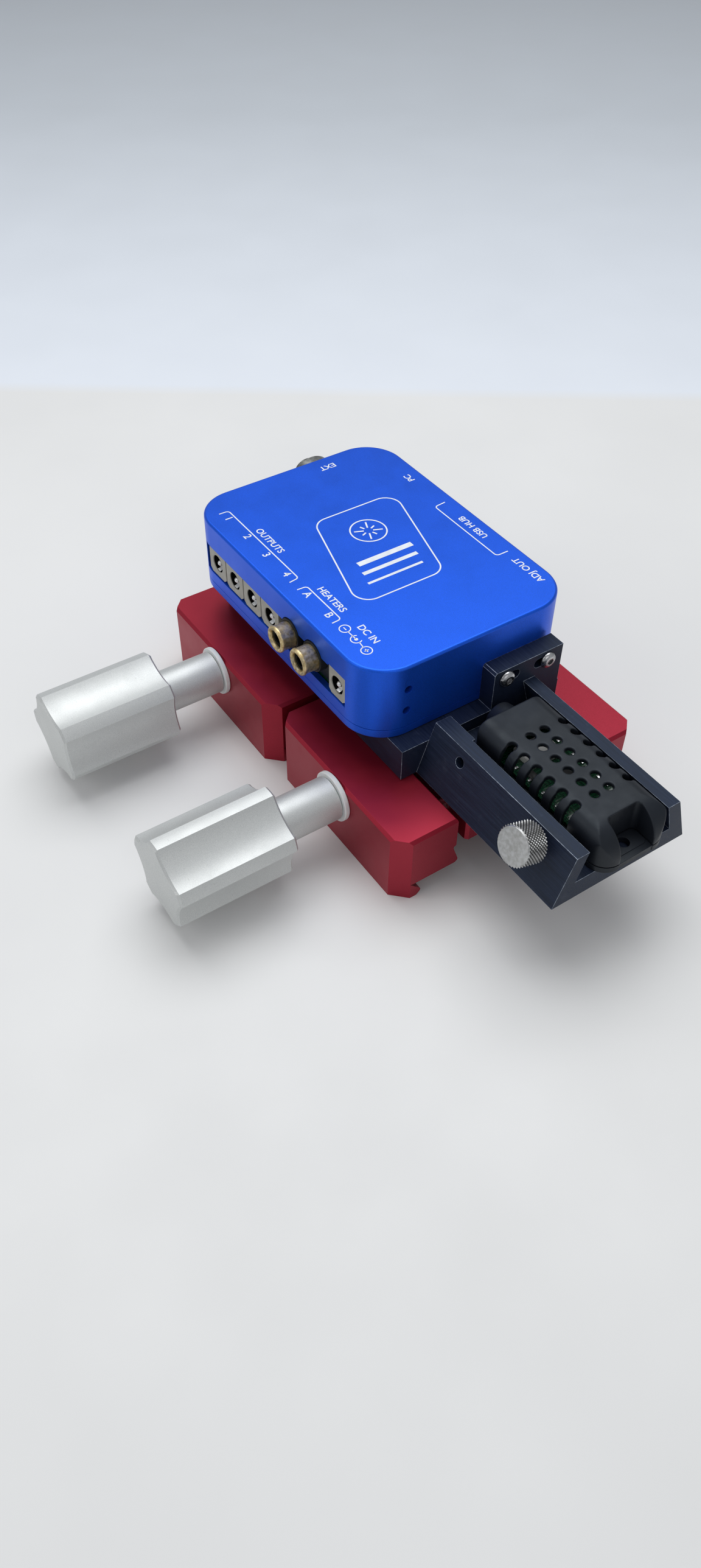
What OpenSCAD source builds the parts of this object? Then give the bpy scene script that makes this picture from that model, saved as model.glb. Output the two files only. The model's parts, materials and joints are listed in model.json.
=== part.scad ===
// Dual dovetail saddle clamp with a printed bracket that carries a power box and a weather sensor.
// The saddle stands mouth down: Z = 0 is the underside of its jaws, Y runs along the dovetail groove,
// X runs across it, and the two moving jaws with their knobs are on the -X side.

/* [Saddle] */
// Length of the saddle plate and its fixed jaw along the groove
saddle_len = 142.4; // [140:0.1:146]
// Half the width across the outer faces of the closed saddle
saddle_half = 48; // [47:0.1:50]
// Height of the saddle plate's top face
plate_top = 26.8; // [26:0.1:28]
// Height of the seat that a narrow dovetail plate rests on
narrow_seat_z = 14; // [13:0.1:15]
// Height of the seat that a wide dovetail plate rests on
wide_seat_z = 6.3; // [5.8:0.1:7]
// Left edge of the saddle plate
plate_left = -21.9; // [-22.2:0.1:-20]
// How far the wide lip reaches in from a jaw's outer face
wide_lip = 9; // [8:0.1:10]
// How far the fixed jaw's narrow lip reaches in from its outer face
fixed_narrow_lip = 26.4; // [25.5:0.1:27]

/* [Moving jaws] */
// Length of one moving jaw
jaw_len = 69.9; // [66:0.1:70]
// Width of a moving jaw at its top
jaw_w = 22.1; // [21:0.1:22.4]
// Height of a moving jaw
jaw_top = 26.4; // [25.6:0.1:26.5]
// Distance from the saddle's middle to the middle of each jaw
jaw_y = 36.45; // [36:0.05:37.5]
// How much wider the rear jaw stands than the front one
rear_jaw_out = 1.3; // [0:0.1:1.5]
// How far a moving jaw's narrow lip reaches in from its outer face
jaw_narrow_lip = 23.2; // [22.8:0.1:24]
// Chamfer on the outer vertical corners
corner_chamfer = 5; // [3:0.5:6]
// Diameter of the guide pins
guide_pin_d = 5; // [4:0.5:6]
// Distance from a jaw's middle to each of its guide pins
guide_pin_y = 22; // [18:1:25]

/* [Knobs] */
// Height of the clamp screws' axes
screw_z = 19.2; // [18.5:0.1:19.5]
// Diameter of the clamp screws
clamp_screw_d = 8; // [6:1:8]
// Diameter over a knob's five lobes
knob_d = 31; // [28:0.5:32]
// Length of a knob's lobed grip
grip_len = 40.2; // [34:0.1:42]
// Distance from the jaw's face to the grip
grip_start = 22.9; // [20:0.1:24]
// Diameter of a knob's round neck
neck_d = 14.9; // [13:0.1:16]
// Radius of the flutes between the lobes
flute_r = 18.2; // [16:0.1:20]
// Distance from the knob's axis to each flute's centre
flute_off = 30.5; // [30:0.1:32]

/* [Bracket] */
// Width of the block under the power box
block_w = 62.4; // [58:0.2:66]
// Near end of the block
block_near = -48.2; // [-49:0.1:-47]
// Far end of the block
block_far = 60; // [55:1:64]
// Thickness of the block
block_h = 12; // [11:0.5:13]
// Near end of the sensor cradle
cradle_near = -113.2; // [-116:0.1:-110]
// Height of the cradle's floor above the saddle plate
cradle_floor = 7.3; // [6.5:0.1:8]
// Height of the cradle's walls above the saddle plate
cradle_h = 18.3; // [17:0.1:19]
// Middle of the cradle
cradle_x = 0.7; // [0:0.1:1]

/* [Sensor] */
// Width of the sensor's case
sensor_w = 26.7; // [26:0.1:27]
// Length of the sensor's case
sensor_len = 58.8; // [58:0.1:60]
// Height of the sensor's case
sensor_h = 13.8; // [13:0.1:14.5]
// Middle of the sensor
sensor_x = 2.3; // [2:0.1:2.6]
// Near end of the sensor
sensor_near = -116.4; // [-117:0.1:-116]
// Distance between the rows of vents
vent_pitch = 5.66; // [5:0.02:5.8]
// Number of rows of vents
vent_rows = 6; // [3:1:6]

/* [Thumb screw] */
// Diameter of the knurled head
thumb_d = 12.9; // [11:0.1:13]
// Thickness of the knurled head
thumb_h = 8; // [6:0.1:8.5]
// Gap between the head and the cradle's wall
thumb_gap = 2.4; // [1:0.1:4]
// Place of the screw along the cradle
thumb_y = -99.1; // [-102:0.1:-96]

/* [Power box] */
// Width of the box
box_w = 78.4; // [76:0.2:80]
// Length of the box
box_len = 110; // [108:0.5:112]
// Near face of the box
box_near = -42; // [-42:0.1:-41.8]
// Height of the box
box_h = 27.4; // [26.8:0.1:28]
// Thickness of the base plate, up to the seam
base_h = 3.2; // [3:0.1:3.4]
// Radius of the vertical corners
box_r = 14; // [12:0.5:15]
// Radius of the rounded edges
edge_r = 1; // [0.5:0.1:1.5]
// Wall thickness of the cover
wall = 2; // [1.6:0.1:2]

/* [Sockets] */
// Distance between the four output sockets
output_pitch = 11.45; // [11.3:0.05:11.5]
// Middle of the first output socket, from the middle of the saddle
output_y = 50.5; // [50:0.1:50.6]
// Radius of a power socket's round recess
socket_r = 3.15; // [2.8:0.05:3.2]
// Radius of a heater socket's barrel
heater_r = 4.35; // [4:0.05:4.4]
// Height of the heater sockets' axes
heater_z = 54.2; // [53.8:0.1:54.4]

/* [Hidden] */
$fn = 96;

fit = 0.05;                               // radial clearance of a shaft in its hole
play = 0.3;                               // clearance round sockets and loose screws
press = 0.01;                             // radial clearance of a pressed or glued fit
cut = 1;                                  // how far a cutting solid runs past the face it cuts

front = -1;
rear = 1;
block_top = plate_top + block_h;
pin_r = guide_pin_d / 2;
screw_r = clamp_screw_d / 2;
lip_r = 1.2;                              // rounding of the wide lip's tip
lip_z = 2;                                // height of the centre of that rounding
small_chamfer = 1;
plate_bevel = 1.4;                        // side of the square that bevels the plate's left corners

pin_start = -9.9;                         // guide pin's end inside the plate
pin_end = -39.5;                          // guide pin's end inside the jaw
pin_chamfer = 0.6;
jaw_wall = 4;                             // metal left in front of a guide pin's bore
spring_pocket_r = 6.3;
plate_pocket = 4;                         // depth of the spring's pocket in the plate
jaw_pocket = 6;                           // depth of the spring's pocket in the jaw
spring_r = 5.4;
spring_wire_r = 0.45;
spring_turns = 4;
screw_end = -4;                           // end of the front clamp screw inside the plate
screw_hole_end = 3;
screw_in_knob = 45;                       // length of screw inside a knob
screw_out = 1.5;                          // how far the screw's end stops short of the knob's bore
washer_r = 8.6;
washer_h = 1.7;
knob_gap = 0.1;                           // between a knob's neck and its washer
front_flute = 19.5;                       // turn of each knob's first flute
rear_flute = 41;

bolt_x = 15;
bolt_y = 26;
bolt_r = 2.5;
bolt_head_r = 4.25;
bolt_head_h = 5;
bolt_pocket = 5.6;
bolt_end_z = 17;
bolt_play = 0.25;
bolt_hex = 4.6;
bolt_hex_depth = 2.5;

cradle_half_base = 25.8;
cradle_half_top = 19.6;
cradle_in_base = 18.3;
cradle_in_top = 15;
step_y = -60.6;                           // where the left wall's inside steps in
step_w = 1;
tab_x0 = 3.3;
tab_x1 = 30.9;
tab_h = 14.9;
tab_bevel = 0.8;
tab_screw_x = [8.1, 24.7];
tab_screw_z = 50;
tab_screw_r = 1.45;
tab_slot_r = 1.75;
tab_hex = 2.3;
tab_hex_floor = 0.6;
tab_slot_len = 3.6;

wall_lean = 19;                           // lean of the cradle's walls from upright
thumb_wall_x = -20.4;                     // where the thumb screw's axis leaves the wall
thumb_wall_z = 40.7;
spare_y = -62.6;
spare_r = 1.75;
insert_r = 2.8;
insert_len = 4.3;
thumb_thread_r = 2;
tip_r = 1.5;
tip_neck_r = 0.9;
tip_seat = 6;                             // depth of the thread's end inside the wall's outer face
tip_x = 8.1;                              // depth of the centre of the tip's round nose

sensor_z = plate_top + cradle_floor + fit; // the sensor slides on the floor
sensor_base_h = 2;
sensor_seam = 0.15;
sensor_wall = 1.5;
shoulder_r = 5.35;                        // rounding of the sensor's shoulders
horn_r = 6.4;                             // rounding of the two horns in plan
nose_r = 10.5;                            // rounding of the near end, seen from the side
alcove_w = 12.7;
alcove_len = 8.6;
alcove_r = 1.8;
ear_hole_r = 1.95;
ear_hole_off = 5.6;
ear_h = 2.3;
ear_in = 2;                               // from the sensor's near end to the ear's edge
vent_r = 1.5;
vent_x = 2.73;
side_vent_x = 8.4;
side_vent_w = 3.2;
side_slot_w = 2.6;
vent_sill = 3;                            // wall left under the side vents
vent_first = 45.7;                        // from the sensor's near end to the farthest row
sensor_board_w = 22.4;
sensor_board_y = 12.5;                    // from the sensor's near end to its board
sensor_board_len = 43.8;
sensor_board_z = 4.6;
sensor_board_h = 1;
// the parts on it: middle across and along, width, length and height
sensor_chips = [[0, 42, 12, 9, 2.6], [0, 30, 6, 5, 1.4], [-6.5, 22, 3, 2, 1], [5.5, 22, 4, 3, 1.2],
    [0, 17, 9, 2.4, 2.2]];
gland_r = 5.75;
gland_len = 5;
gland_neck_r = 4.2;
gland_taper = 0.9;
gland_bore_r = 2.4;
gland_z = 41;

box_mid_y = box_near + box_len / 2;
box_far = box_near + box_len;
box_top = block_top + box_h;
seam_z = block_top + base_h;
seam = 0.2;
half_w = box_w / 2;
board_z = 45;
board_h = 1.6;
board_top = board_z + board_h;
part_z = board_top + 0.02;                // sockets stand on the board
post_x = 32;
post_in = 7;                              // from the box's end faces to the corner posts
post_r = 3.6;
base_screw_r = 1.5;
base_head_r = 2.9;
base_head_h = 1.55;
base_screw_len = 11;
base_hex = 2.3;
base_hex_depth = 2.1;
side_hole = [[-25.3, 57.1], [-25.6, 48.8]]; // two tapped holes in the near face
side_hole_r = 1.45;
board_screw_x = 21;
board_screw_y = [-33, 58];
board_screw_r = 1.25;

socket_w = 10.9;
socket_top = 56.3;
socket_len = 14.2;
socket_face = 0.3;                        // how far the sockets sit behind the cover's face
socket_depth = 9.5;
contact_r = 1.05;
contact_in = 1.2;                         // how far the centre pins stop short of the sockets' faces
socket_z = (socket_top + part_z) / 2 + 0.3;
input_y = -23.6;
input_w = 9;
input_top = 57.1;
heater_y = [2.8, -10.4];
heater_block_y = [-17, 9.2];
heater_rim_r = 4.55;
heater_bore_r = 3;
heater_block_top = 57;
heater_out = 6;                           // how far the barrels stand out of the cover
heater_boss_r = 5.2;
heater_boss_out = 0.5;
heater_back = 14;                         // from the cover's face to the block's back
heater_end = 11.9;                        // and to the barrels' inner ends
heater_rim_h = 1.3;
heater_pin_r = 1.6;
heater_pin_depth = 5;
usb_y = [12.5, -4.5];
usb_w = 13.2;
usb_h = 15.6;
usb_len = 17.4;
usb_rows = [1.3, 9.1];                    // floors of the two sockets in a stack
usb_mouth_w = 12.2;
usb_mouth_h = 5.1;
usb_depth = 10;
usb_tongue = [10.4, 1.9];
port_lip = 0.2;                           // how far the metal ports stand out past the sockets
data_y = 40.7;
data_w = 12;
data_h = 10.9;
data_len = 16;
data_depth = 9;
data_tongue_w = 5.6;
adjust_y = -24.6;
port_x = 13.4;
port_z = 56.7;
port_thread_r = 6;
port_nut_r = 8.1;
port_nut_h = 4.6;
port_mouth_r = 5.4;
port_bore_r = 4.5;
port_out = 8.4;                           // how far the port stands out of the cover
port_in = 11;                             // how far it reaches into the box
port_flange = 0.9;
port_groove = 0.4;                        // depth and width of the groove between nut and thread
port_insert_out = 3;
port_contact_r = 0.5;
port_contact_off = 2.4;

// ---- helpers ----

// An XZ outline, extruded along Y from y0 to y1
module along_y(y0, y1) {
    translate([0, y1, 0]) rotate([90, 0, 0]) linear_extrude(y1 - y0) children();
}

// A YZ outline, extruded along X from x0 to x1
module along_x(x0, x1) {
    translate([x0, 0, 0]) rotate([90, 0, 90]) linear_extrude(x1 - x0) children();
}

// A round bar along X at (y, z)
module rod_x(x0, x1, r, y = 0, z = 0) {
    translate([x0, y, z]) rotate([0, 90, 0]) cylinder(r = r, h = x1 - x0);
}

// A round bar along Y at (x, z)
module rod_y(y0, y1, r, x = 0, z = 0) {
    translate([x, y0, z]) rotate([-90, 0, 0]) cylinder(r = r, h = y1 - y0);
}

// A box from one corner to the opposite one
module block(lo, hi) {
    translate(lo) cube(hi - lo);
}

// A rectangle with round corners, centred
module round_rect(w, len, r) {
    square([w - 2 * r, len], center = true);
    square([w, len - 2 * r], center = true);
    for (sx = [-1, 1], sy = [-1, 1])
        translate([sx * (w / 2 - r), sy * (len / 2 - r)]) circle(r);
}

// A rectangle on the axis with two rounded upper corners
module round_top(w, h, f) {
    translate([-w / 2, 0]) square([w, h - f]);
    translate([f - w / 2, 0]) square([w - 2 * f, h]);
    for (s = [-1, 1]) translate([s * (w / 2 - f), h - f]) circle(f);
}

// A slab with vertical corners of radius r and an upper edge rounded by f
module round_slab(w, len, h, r, f) {
    along_y(r - len / 2, len / 2 - r) round_top(w, h, f);
    along_x(r - w / 2, w / 2 - r) round_top(len, h, f);
    for (sx = [-1, 1], sy = [-1, 1])
        translate([sx * (w / 2 - r), sy * (len / 2 - r), 0]) rotate_extrude() intersection() {
            round_top(2 * r, h, f);
            square([r, h]);
        }
}

// The frame of the thumb screw: Z points out of the cradle's left wall along the screw's axis
module thumb_frame(y) {
    translate([thumb_wall_x, y, thumb_wall_z]) rotate([0, wall_lean - 90, 0]) children();
}

// ---- saddle ----

// A jaw's outline seen along the groove: x runs in from the outer face, y is the height
module jaw_outline(w, top, narrow) {
    t = lip_r * cos(45);
    tip = wide_lip - lip_r;
    under = tip + t - (wide_seat_z + 0.4 - lip_z - t);
    polygon([
        [0, 0], [tip + t - (lip_z - t), 0], [tip + t, lip_z - t], [tip + t, lip_z + t],
        [under, wide_seat_z + 0.4], [under + 0.8, wide_seat_z],
        [narrow - 0.9, wide_seat_z], [narrow, wide_seat_z + 0.8], [narrow, wide_seat_z + 1.6],
        [narrow - 2, narrow_seat_z - 0.6], [narrow - 2, narrow_seat_z + 0.2],
        [min(w, narrow - 1.1), narrow_seat_z + 0.8],
        [w, narrow_seat_z + 0.8], [w, top - 0.5], [w - 0.5, top],
        [small_chamfer, top], [0, top - small_chamfer]]);
    translate([tip, lip_z]) circle(lip_r);
}

// What the chamfers take off a jaw's two outer corners and its ends' top edges
module jaw_chamfers(w, len, top) {
    for (s = [-1, 1]) {
        translate([0, s * len / 2, -cut]) linear_extrude(top + 2 * cut)
            polygon([[-cut, s * cut], [-cut, -s * (corner_chamfer + cut)], [corner_chamfer + cut, s * cut]]);
        along_x(-cut, w + cut) translate([s * len / 2, top])
            polygon([[s * cut, cut], [-s * (small_chamfer + cut), cut], [s * cut, -small_chamfer - cut]]);
    }
}

module saddle_body() color([0.62, 0.05, 0.06]) difference() {
    union() {
        translate([saddle_half, 0, 0]) mirror([1, 0, 0]) difference() {
            along_y(-saddle_len / 2, saddle_len / 2)
                jaw_outline(saddle_half, plate_top, fixed_narrow_lip);
            jaw_chamfers(saddle_half, saddle_len, plate_top);
        }
        difference() {
            block([plate_left, -saddle_len / 2, narrow_seat_z], [saddle_half / 2, saddle_len / 2, plate_top]);
            for (s = [-1, 1]) translate([plate_left, s * saddle_len / 2, 0]) rotate(45)
                cube([plate_bevel, plate_bevel, 3 * plate_top], center = true);
            translate([saddle_half, 0, 0]) mirror([1, 0, 0])
                jaw_chamfers(saddle_half * 2, saddle_len, plate_top);
        }
    }
    for (side = [front, rear]) {
        rod_x(plate_left - cut, screw_hole_end, screw_r + fit, side * jaw_y, screw_z);
        rod_x(plate_left - cut, plate_left + plate_pocket, spring_pocket_r, side * jaw_y, screw_z);
        for (s = [-1, 1])
            rod_x(plate_left - cut, pin_start, pin_r + press, side * jaw_y + s * guide_pin_y, screw_z);
        for (s = [-1, 1]) translate([s * bolt_x, side * bolt_y, bolt_end_z - 1])
            cylinder(r = bolt_r + press, h = plate_top);
    }
}

// One moving jaw in its own frame, with its outer face at x = 0 and its middle at y = 0
module jaw() difference() {
    along_y(-jaw_len / 2, jaw_len / 2) jaw_outline(jaw_w, jaw_top, jaw_narrow_lip);
    jaw_chamfers(jaw_w, jaw_len, jaw_top);
    rod_x(-cut, jaw_w + cut, screw_r + fit, 0, screw_z);
    rod_x(jaw_w - jaw_pocket, jaw_w + cut, spring_pocket_r, 0, screw_z);
    for (s = [-1, 1]) rod_x(jaw_wall, jaw_w + cut, pin_r + fit, s * guide_pin_y, screw_z);
}

// Moves a piece made at x = 0, y = 0 to the outer face of the front or the rear jaw
module at_jaw(side) {
    translate([-saddle_half - (side == rear ? rear_jaw_out : 0), side * jaw_y, 0]) children();
}

module front_jaw() color([0.62, 0.05, 0.06]) at_jaw(front) jaw();
module rear_jaw() color([0.62, 0.05, 0.06]) at_jaw(rear) jaw();

// Each jaw's pins are pressed into the plate and reach into the jaw's bores
module guide_pins(side) color([0.75, 0.75, 0.77])
    for (s = [-1, 1]) difference() {
        rod_x(pin_end, pin_start, pin_r, side * jaw_y + s * guide_pin_y, screw_z);
        translate([pin_end, side * jaw_y + s * guide_pin_y, screw_z]) rotate([0, 90, 0]) difference() {
            cylinder(r = pin_r + cut, h = pin_chamfer);
            translate([0, 0, -press])
                cylinder(r1 = pin_r - pin_chamfer, r2 = pin_r + 2 * press, h = pin_chamfer + 2 * press);
        }
    }
module front_guide_pins() guide_pins(front);
module rear_guide_pins() guide_pins(rear);

// Points of a round wire's rings along a coil of given length
function coil_points(len, turns, steps, sides) = [
    for (i = [0 : steps]) let (a = 360 * turns * i / steps)
        for (k = [0 : sides - 1]) let (b = 360 * k / sides, r = spring_r + spring_wire_r * cos(b))
            [len * i / steps + spring_wire_r * sin(b), r * cos(a), r * sin(a)]];

// The spring that opens a jaw, round the clamp screw between the two pockets
module jaw_spring(side) {
    steps = spring_turns * 16;
    sides = 6;
    x0 = -saddle_half - (side == rear ? rear_jaw_out : 0) + jaw_w - jaw_pocket + spring_wire_r + 2 * fit;
    x1 = plate_left + plate_pocket - spring_wire_r - 2 * fit;
    faces = [
        for (i = [0 : steps - 1], k = [0 : sides - 1]) let (n = (k + 1) % sides)
            [i * sides + k, i * sides + n, (i + 1) * sides + n, (i + 1) * sides + k],
        [for (k = [sides - 1 : -1 : 0]) k],
        [for (k = [0 : sides - 1]) steps * sides + k]];
    color([0.7, 0.7, 0.72]) translate([x0, side * jaw_y, screw_z])
        polyhedron(coil_points(x1 - x0, spring_turns, steps, sides), faces);
}
module front_jaw_spring() jaw_spring(front);
module rear_jaw_spring() jaw_spring(rear);

// ---- knobs ----

// One knob with its axis along -X from the jaw's face
module knob(side) color([0.78, 0.78, 0.79]) {
    first = side == front ? front_flute : rear_flute;
    end = grip_start + grip_len;
    at_jaw(side) translate([0, 0, screw_z]) rotate([0, -90, 0]) difference() {
        union() {
            translate([0, 0, washer_h + knob_gap]) cylinder(d = neck_d, h = grip_start + cut);
            difference() {
                rotate_extrude() polygon([
                    [0, grip_start], [knob_d / 2 - small_chamfer, grip_start],
                    [knob_d / 2, grip_start + small_chamfer], [knob_d / 2, end - small_chamfer],
                    [knob_d / 2 - small_chamfer, end], [0, end]]);
                for (k = [0 : 4]) rotate(first + 72 * k) translate([0, flute_off, 0])
                    cylinder(r = flute_r, h = 2 * end);
            }
        }
        cylinder(r = screw_r + press, h = screw_in_knob);
    }
}
module front_knob() knob(front);
module rear_knob() knob(rear);

// The threaded rod glued into each knob, through the jaw and into the plate
module clamp_screw(side) color([0.6, 0.6, 0.62]) {
    out = saddle_half + (side == rear ? rear_jaw_out : 0);
    rod_x(screw_out - out - screw_in_knob, screw_end + saddle_half - out, screw_r, side * jaw_y, screw_z);
}
module front_clamp_screw() clamp_screw(front);
module rear_clamp_screw() clamp_screw(rear);

module knob_washer(side) color([0.93, 0.93, 0.9])
    at_jaw(side) translate([0, 0, screw_z]) rotate([0, -90, 0]) difference() {
        cylinder(r = washer_r, h = washer_h);
        translate([0, 0, -cut]) cylinder(r = screw_r + fit, h = washer_h + 2 * cut);
    }
module front_knob_washer() knob_washer(front);
module rear_knob_washer() knob_washer(rear);

// ---- bracket ----

// The cradle's outline: a floor with two walls that lean in, on the saddle plate's plane
module cradle_outer() {
    translate([cradle_x, plate_top]) polygon([
        [-cradle_half_base, 0], [cradle_half_base, 0],
        [cradle_half_top, cradle_h], [-cradle_half_top, cradle_h]]);
}
module cradle_inner(left_in) {
    up = (cradle_h - cradle_floor) / 10;
    lean = (cradle_in_base - cradle_in_top) / 10;
    top = cradle_in_top - lean;
    translate([cradle_x, plate_top]) polygon([
        [left_in - cradle_in_base, cradle_floor], [cradle_in_base, cradle_floor],
        [top, cradle_h + up], [left_in - top, cradle_h + up]]);
}

module bracket() color([0.07, 0.08, 0.13]) difference() {
    union() {
        block([-block_w / 2, block_near, plate_top], [block_w / 2, block_far, block_top]);
        along_y(cradle_near, block_near) difference() {
            cradle_outer();
            cradle_inner(0);
        }
        along_y(step_y, block_near) intersection() {
            cradle_outer();
            difference() {
                translate([-saddle_half, plate_top]) square([saddle_half, cradle_h]);
                cradle_inner(step_w);
            }
        }
        along_y(block_near, box_near - fit) translate([0, block_top - cut]) polygon([
            [tab_x0, 0], [tab_x1, 0], [tab_x1, tab_h + cut], [tab_x0 + tab_bevel, tab_h + cut],
            [tab_x0, tab_h + cut - tab_bevel]]);
    }
    for (sx = [-1, 1], sy = [-1, 1]) translate([sx * bolt_x, sy * bolt_y, 0]) {
        cylinder(r = bolt_r + bolt_play, h = block_top + cut);
        translate([0, 0, block_top - bolt_pocket])
            cylinder(r = bolt_head_r + bolt_play, h = bolt_pocket + cut);
    }
    for (k = [0, 1]) {
        x = tab_screw_x[k];
        far = x + (k == 0 ? 1 : -1) * tab_slot_len;
        rod_y(block_near - cut, box_near + cut, tab_slot_r, x, tab_screw_z);
        rod_y(block_near - cut, box_near + cut, tab_slot_r, far, tab_screw_z);
        block([min(x, far), block_near - cut, tab_screw_z - tab_slot_r],
            [max(x, far), box_near + cut, tab_screw_z + tab_slot_r]);
    }
    thumb_frame(thumb_y) translate([0, 0, -2 * insert_len])
        cylinder(r = thumb_thread_r + play, h = 4 * insert_len);
    thumb_frame(thumb_y) translate([0, 0, -insert_len]) cylinder(r = insert_r + press, h = 3 * insert_len);
    thumb_frame(spare_y) translate([0, 0, -2 * insert_len]) cylinder(r = spare_r, h = 4 * insert_len);
}

module bracket_bolts() color([0.2, 0.2, 0.21])
    for (sx = [-1, 1], sy = [-1, 1]) translate([sx * bolt_x, sy * bolt_y, 0]) difference() {
        union() {
            translate([0, 0, bolt_end_z]) cylinder(r = bolt_r, h = block_top - bolt_pocket - bolt_end_z + 1);
            translate([0, 0, block_top - bolt_pocket]) cylinder(r = bolt_head_r, h = bolt_head_h);
        }
        translate([0, 0, block_top - bolt_pocket + bolt_head_h - bolt_hex_depth])
            cylinder(d = bolt_hex, h = bolt_head_h, $fn = 6);
    }

module tab_screws() color([0.55, 0.55, 0.57])
    for (x = tab_screw_x) translate([x, block_near - 0.03, tab_screw_z]) rotate([90, 0, 0]) difference() {
        union() {
            rotate_extrude() polygon([[0, 0], [2.85, 0], [2.85, 0.5], [2.45, 1.2], [1.6, 1.7], [0, 1.7]]);
            translate([0, 0, -10]) cylinder(r = tab_screw_r, h = 10.5);
        }
        translate([0, 0, tab_hex_floor]) cylinder(d = tab_hex, h = 5, $fn = 6);
    }

// ---- thumb screw ----

module thumb_insert() color([0.75, 0.58, 0.25]) thumb_frame(thumb_y) difference() {
    translate([0, 0, -insert_len + 0.02]) cylinder(r = insert_r, h = insert_len - 0.02);
    translate([0, 0, -insert_len - cut]) cylinder(r = thumb_thread_r + fit, h = insert_len + 2 * cut);
}

module thumb_screw() color([0.66, 0.66, 0.68]) thumb_frame(thumb_y) difference() {
    union() {
        translate([0, 0, -tip_seat]) cylinder(r = thumb_thread_r, h = tip_seat + thumb_gap + cut);
        translate([0, 0, thumb_gap]) rotate_extrude() polygon([
            [0, 0], [thumb_d / 2 - 0.5, 0], [thumb_d / 2, 0.5], [thumb_d / 2, thumb_h - 0.8],
            [thumb_d / 2 - 0.8, thumb_h], [0, thumb_h]]);
    }
    translate([0, 0, -tip_seat - cut]) cylinder(r = tip_neck_r + fit, h = 3.5);
}

// The soft tip that bears on the sensor: it slides with the screw but doesn't turn
module thumb_screw_tip() color([0.9, 0.9, 0.86]) thumb_frame(thumb_y) union() {
    translate([0, 0, -tip_x]) sphere(tip_r);
    translate([0, 0, -tip_x]) cylinder(r = tip_r, h = tip_x - tip_seat - 0.1);
    translate([0, 0, -tip_x]) cylinder(r = tip_neck_r, h = tip_x - tip_seat + 2);
}

// ---- sensor ----

// The sensor's section, across: upright sides, round shoulders and a flat top
module sensor_section(inset) {
    w = sensor_w - 2 * inset;
    r = shoulder_r - inset / 2;
    translate([sensor_x, sensor_z]) {
        translate([-w / 2, 0]) square([w, sensor_h - inset - r]);
        translate([r - w / 2, 0]) square([w - 2 * r, sensor_h - inset]);
        for (s = [-1, 1]) translate([s * (w / 2 - r), sensor_h - inset - r]) circle(r);
    }
}

// The sensor's outline from above, with the two horns of the near end
module sensor_plan() {
    translate([sensor_x, sensor_near + sensor_len / 2]) difference() {
        union() {
            translate([-sensor_w / 2, horn_r - sensor_len / 2]) square([sensor_w, sensor_len - horn_r - 2]);
            translate([2 - sensor_w / 2, 0]) square([sensor_w - 4, sensor_len / 2]);
            for (s = [-1, 1]) {
                translate([s * (sensor_w / 2 - horn_r), horn_r - sensor_len / 2]) circle(horn_r);
                translate([s * (sensor_w / 2 - 2), sensor_len / 2 - 2]) circle(2);
            }
        }
        translate([0, -sensor_len / 2]) round_rect(alcove_w, 2 * alcove_len, alcove_r);
    }
}

// The sensor seen from the side: its near end curves down from the top
module sensor_side() {
    translate([sensor_near, sensor_z]) {
        translate([nose_r, 0]) square([sensor_len - nose_r, sensor_h]);
        square([nose_r + cut, sensor_h - nose_r]);
        translate([nose_r, sensor_h - nose_r]) circle(nose_r);
    }
}

module sensor_cover() color([0.06, 0.06, 0.065]) {
    row0 = sensor_near + vent_first;
    low = sensor_z + sensor_base_h + sensor_seam;
    difference() {
        intersection() {
            along_y(sensor_near, sensor_near + sensor_len) sensor_section(0);
            along_x(sensor_x - sensor_w, sensor_x + sensor_w) sensor_side();
            translate([0, 0, low]) linear_extrude(sensor_h) sensor_plan();
        }
        along_y(sensor_near + alcove_len + sensor_wall, sensor_near + sensor_len - sensor_wall)
            sensor_section(sensor_wall);
        for (k = [0 : vent_rows - 1]) translate([sensor_x, row0 - k * vent_pitch, 0]) {
            for (s = [-1, 1]) {
                translate([s * vent_x, 0, low]) cylinder(r = vent_r, h = sensor_h);
                translate([s * (side_vent_x + side_vent_w / 2), 0, low + vent_sill])
                    cylinder(d = side_vent_w, h = sensor_h);
                translate([s * (side_vent_x + (side_vent_w + sensor_w) / 2), 0,
                    low + vent_sill + sensor_h / 2])
                    cube([sensor_w, side_slot_w, sensor_h], center = true);
            }
        }
        rod_y(sensor_near + sensor_len - sensor_wall - cut, sensor_near + sensor_len + cut,
            gland_neck_r + fit, sensor_x, gland_z);
    }
}

module sensor_base() color([0.06, 0.06, 0.065]) difference() {
    translate([0, 0, sensor_z]) union() {
        linear_extrude(sensor_base_h) sensor_plan();
        translate([sensor_x, sensor_near + (ear_in + alcove_len) / 2, 0]) {
            linear_extrude(sensor_base_h)
                square([alcove_w + 2 * fit, alcove_len - ear_in + 2 * alcove_r], center = true);
            linear_extrude(ear_h)
                round_rect(alcove_w - 4 * fit, alcove_len - ear_in - 4 * fit, alcove_r);
        }
    }
    translate([sensor_x, sensor_near + ear_hole_off, sensor_z - cut])
        cylinder(r = ear_hole_r, h = ear_h + 2 * cut);
}

module sensor_board() color([0.05, 0.32, 0.14])
    translate([sensor_x - sensor_board_w / 2, sensor_near + sensor_board_y, sensor_z + sensor_board_z])
        cube([sensor_board_w, sensor_board_len, sensor_board_h]);

// The humidity element and the chips on the sensor's board
module sensor_parts() color([0.85, 0.86, 0.84]) {
    z = sensor_z + sensor_board_z + sensor_board_h + press;
    for (part = sensor_chips)
        translate([sensor_x + part[0] - part[2] / 2, sensor_near + part[1] - part[3] / 2, z])
            cube([part[2], part[3], part[4]]);
}

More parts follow.
